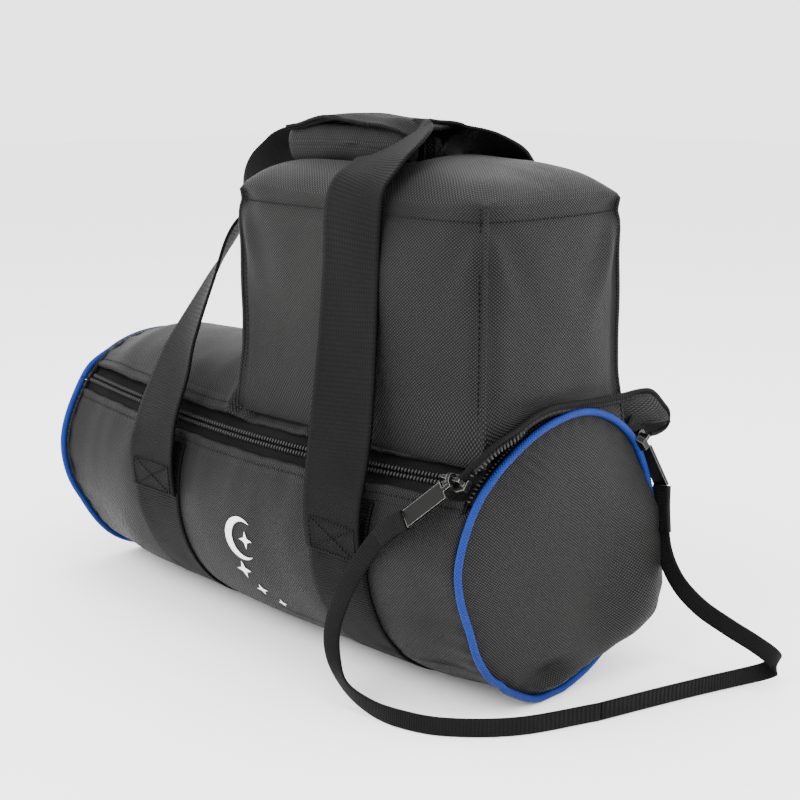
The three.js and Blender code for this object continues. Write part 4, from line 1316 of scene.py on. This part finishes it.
def rubbed_metal(name, dark, bright, edge_width=0.0004, roughness=0.34):
    material, tree, shader = new_material(name, roughness, dark)
    bevel = add_node(tree, "ShaderNodeBevel", {"Radius": edge_width}, samples=6)
    shape = add_node(tree, "ShaderNodeNewGeometry")
    turn = add_node(tree, "ShaderNodeVectorMath", operation="DOT_PRODUCT")
    tree.links.new(bevel.outputs["Normal"], turn.inputs[0])
    tree.links.new(shape.outputs["Normal"], turn.inputs[1])
    edge = add_math(tree, "MULTIPLY", add_math(tree, "SUBTRACT", 1.0, turn.outputs["Value"]), 9.0)
    grain = add_noise(tree, 420.0, 4.0)
    worn = add_math(tree, "MULTIPLY", edge, add_math(tree, "ADD", grain, 0.35))
    worn = add_math(tree, "MINIMUM", worn, 1.0)
    color_between(tree, shader, worn, dark, bright)
    gloss = add_node(tree, "ShaderNodeMapRange", {"To Min": roughness - 0.06, "To Max": roughness + 0.14})
    tree.links.new(grain, gloss.inputs["Value"])
    tree.links.new(gloss.outputs["Result"], shader.inputs["Roughness"])
    add_bump(tree, shader, grain, 0.00008)
    shader.inputs["Metallic"].default_value = 0.85
    return material


black_plate = rubbed_metal("black_plate", (0.006, 0.0058, 0.0056), (0.36, 0.35, 0.33))


def copy_cad(name, node, material, edge):
    """A metal part as it is cast, its edges rounded."""
    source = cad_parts[node]
    shape = bmesh.new()
    shape.from_mesh(source.data)
    bmesh.ops.remove_doubles(shape, verts=shape.verts, dist=1e-6)
    bmesh.ops.dissolve_limit(shape, angle_limit=math.radians(2), verts=shape.verts, edges=shape.edges)
    sharp = [e for e in shape.edges if len(e.link_faces) == 2 and e.calc_face_angle() > math.radians(35)]
    bmesh.ops.bevel(shape, geom=sharp, offset=edge, affect="EDGES", segments=2, profile=0.5,
                    material=-1, clamp_overlap=True)
    return finish_piece(name, shape, material, smooth=False)


for side_name in ("left", "right"):
    slider = copy_cad(side_name + "_slider_cast", side_name + "_slider", black_plate, 0.0005)
    sew_on(slider, side_name + "_slider", "black_metal", side_name + "_slider")
    tab = copy_cad(side_name + "_tab_cast", side_name + "_pull_tab", black_plate, 0.0004)
    sew_on(tab, side_name + "_pull_tab", "black_metal", side_name + "_pull_tab")


# The printed mark: a plain white crescent and star on the left side between the straps, screen
# printed on the nylon, its ink a little thin on the tops of the threads.
mark_middle = (0.0120, 188.0)
mark_size = 0.015


def printed_ink():
    material, tree, shader = new_material("printed_ink", 0.7, (0.8, 0.8, 0.8))
    thin = add_noise(tree, 900.0, 3.0)
    cover = add_math(tree, "MULTIPLY", thin, 1.7)
    color_between(tree, shader, cover, (0.52, 0.52, 0.52), (0.90, 0.90, 0.89))
    add_bump(tree, shader, thin, 0.0002)
    return material


white_ink = printed_ink()


def on_drum_side(right, up):
    """A place on the left side, right and up from the mark's middle, just proud of the nylon."""
    x = mark_middle[0] + right
    angle = mark_middle[1] - math.degrees(up / drum_outside)
    return on_section(x, angle, skin_radius(x, angle) + 0.00035)


def add_printed(name, rim):
    """A flat printed shape: its rim is filled, cut fine and laid on the drum."""
    shape = bmesh.new()
    verts = [shape.verts.new((x, y, 0)) for x, y in rim]
    shape.faces.new(verts)
    shape.normal_update()
    bmesh.ops.triangulate(shape, faces=shape.faces)
    bmesh.ops.subdivide_edges(shape, edges=shape.edges, cuts=2, use_grid_fill=True)
    for vert in shape.verts:
        vert.co = on_drum_side(vert.co.x, vert.co.y)
    shape.normal_update()
    if sum(face.normal.y for face in shape.faces) > 0:
        bmesh.ops.reverse_faces(shape, faces=shape.faces)
    printed = thicken(finish_piece(name, shape, white_ink), 0.0002, 1.0)
    sew_on(printed, "root", "nylon")


def on_circle(middle, radius, degrees):
    return middle + radius * math.cos(math.radians(degrees)), radius * math.sin(math.radians(degrees))


crescent = [on_circle(0.0, mark_size, degrees) for degrees in range(50, 311, 10)]
crescent += [on_circle(0.0040, mark_size * 0.84, degrees) for degrees in range(290, 69, -10)]
add_printed("printed_crescent", crescent)
stars = [(0.0050, 0.0, 0.0062), (-0.0040, -0.0240, 0.0070), (0.0040, -0.0400, 0.0052),
         (0.0170, -0.0500, 0.0040)]
for number, (right, up, size) in enumerate(stars):
    points = []
    for point in range(8):
        reach, turn = size * (1.0 if point % 2 == 0 else 0.36), point * math.pi / 4
        points.append((right + reach * math.sin(turn), up + reach * math.cos(turn)))
    add_printed(f"printed_star_{number}", points)
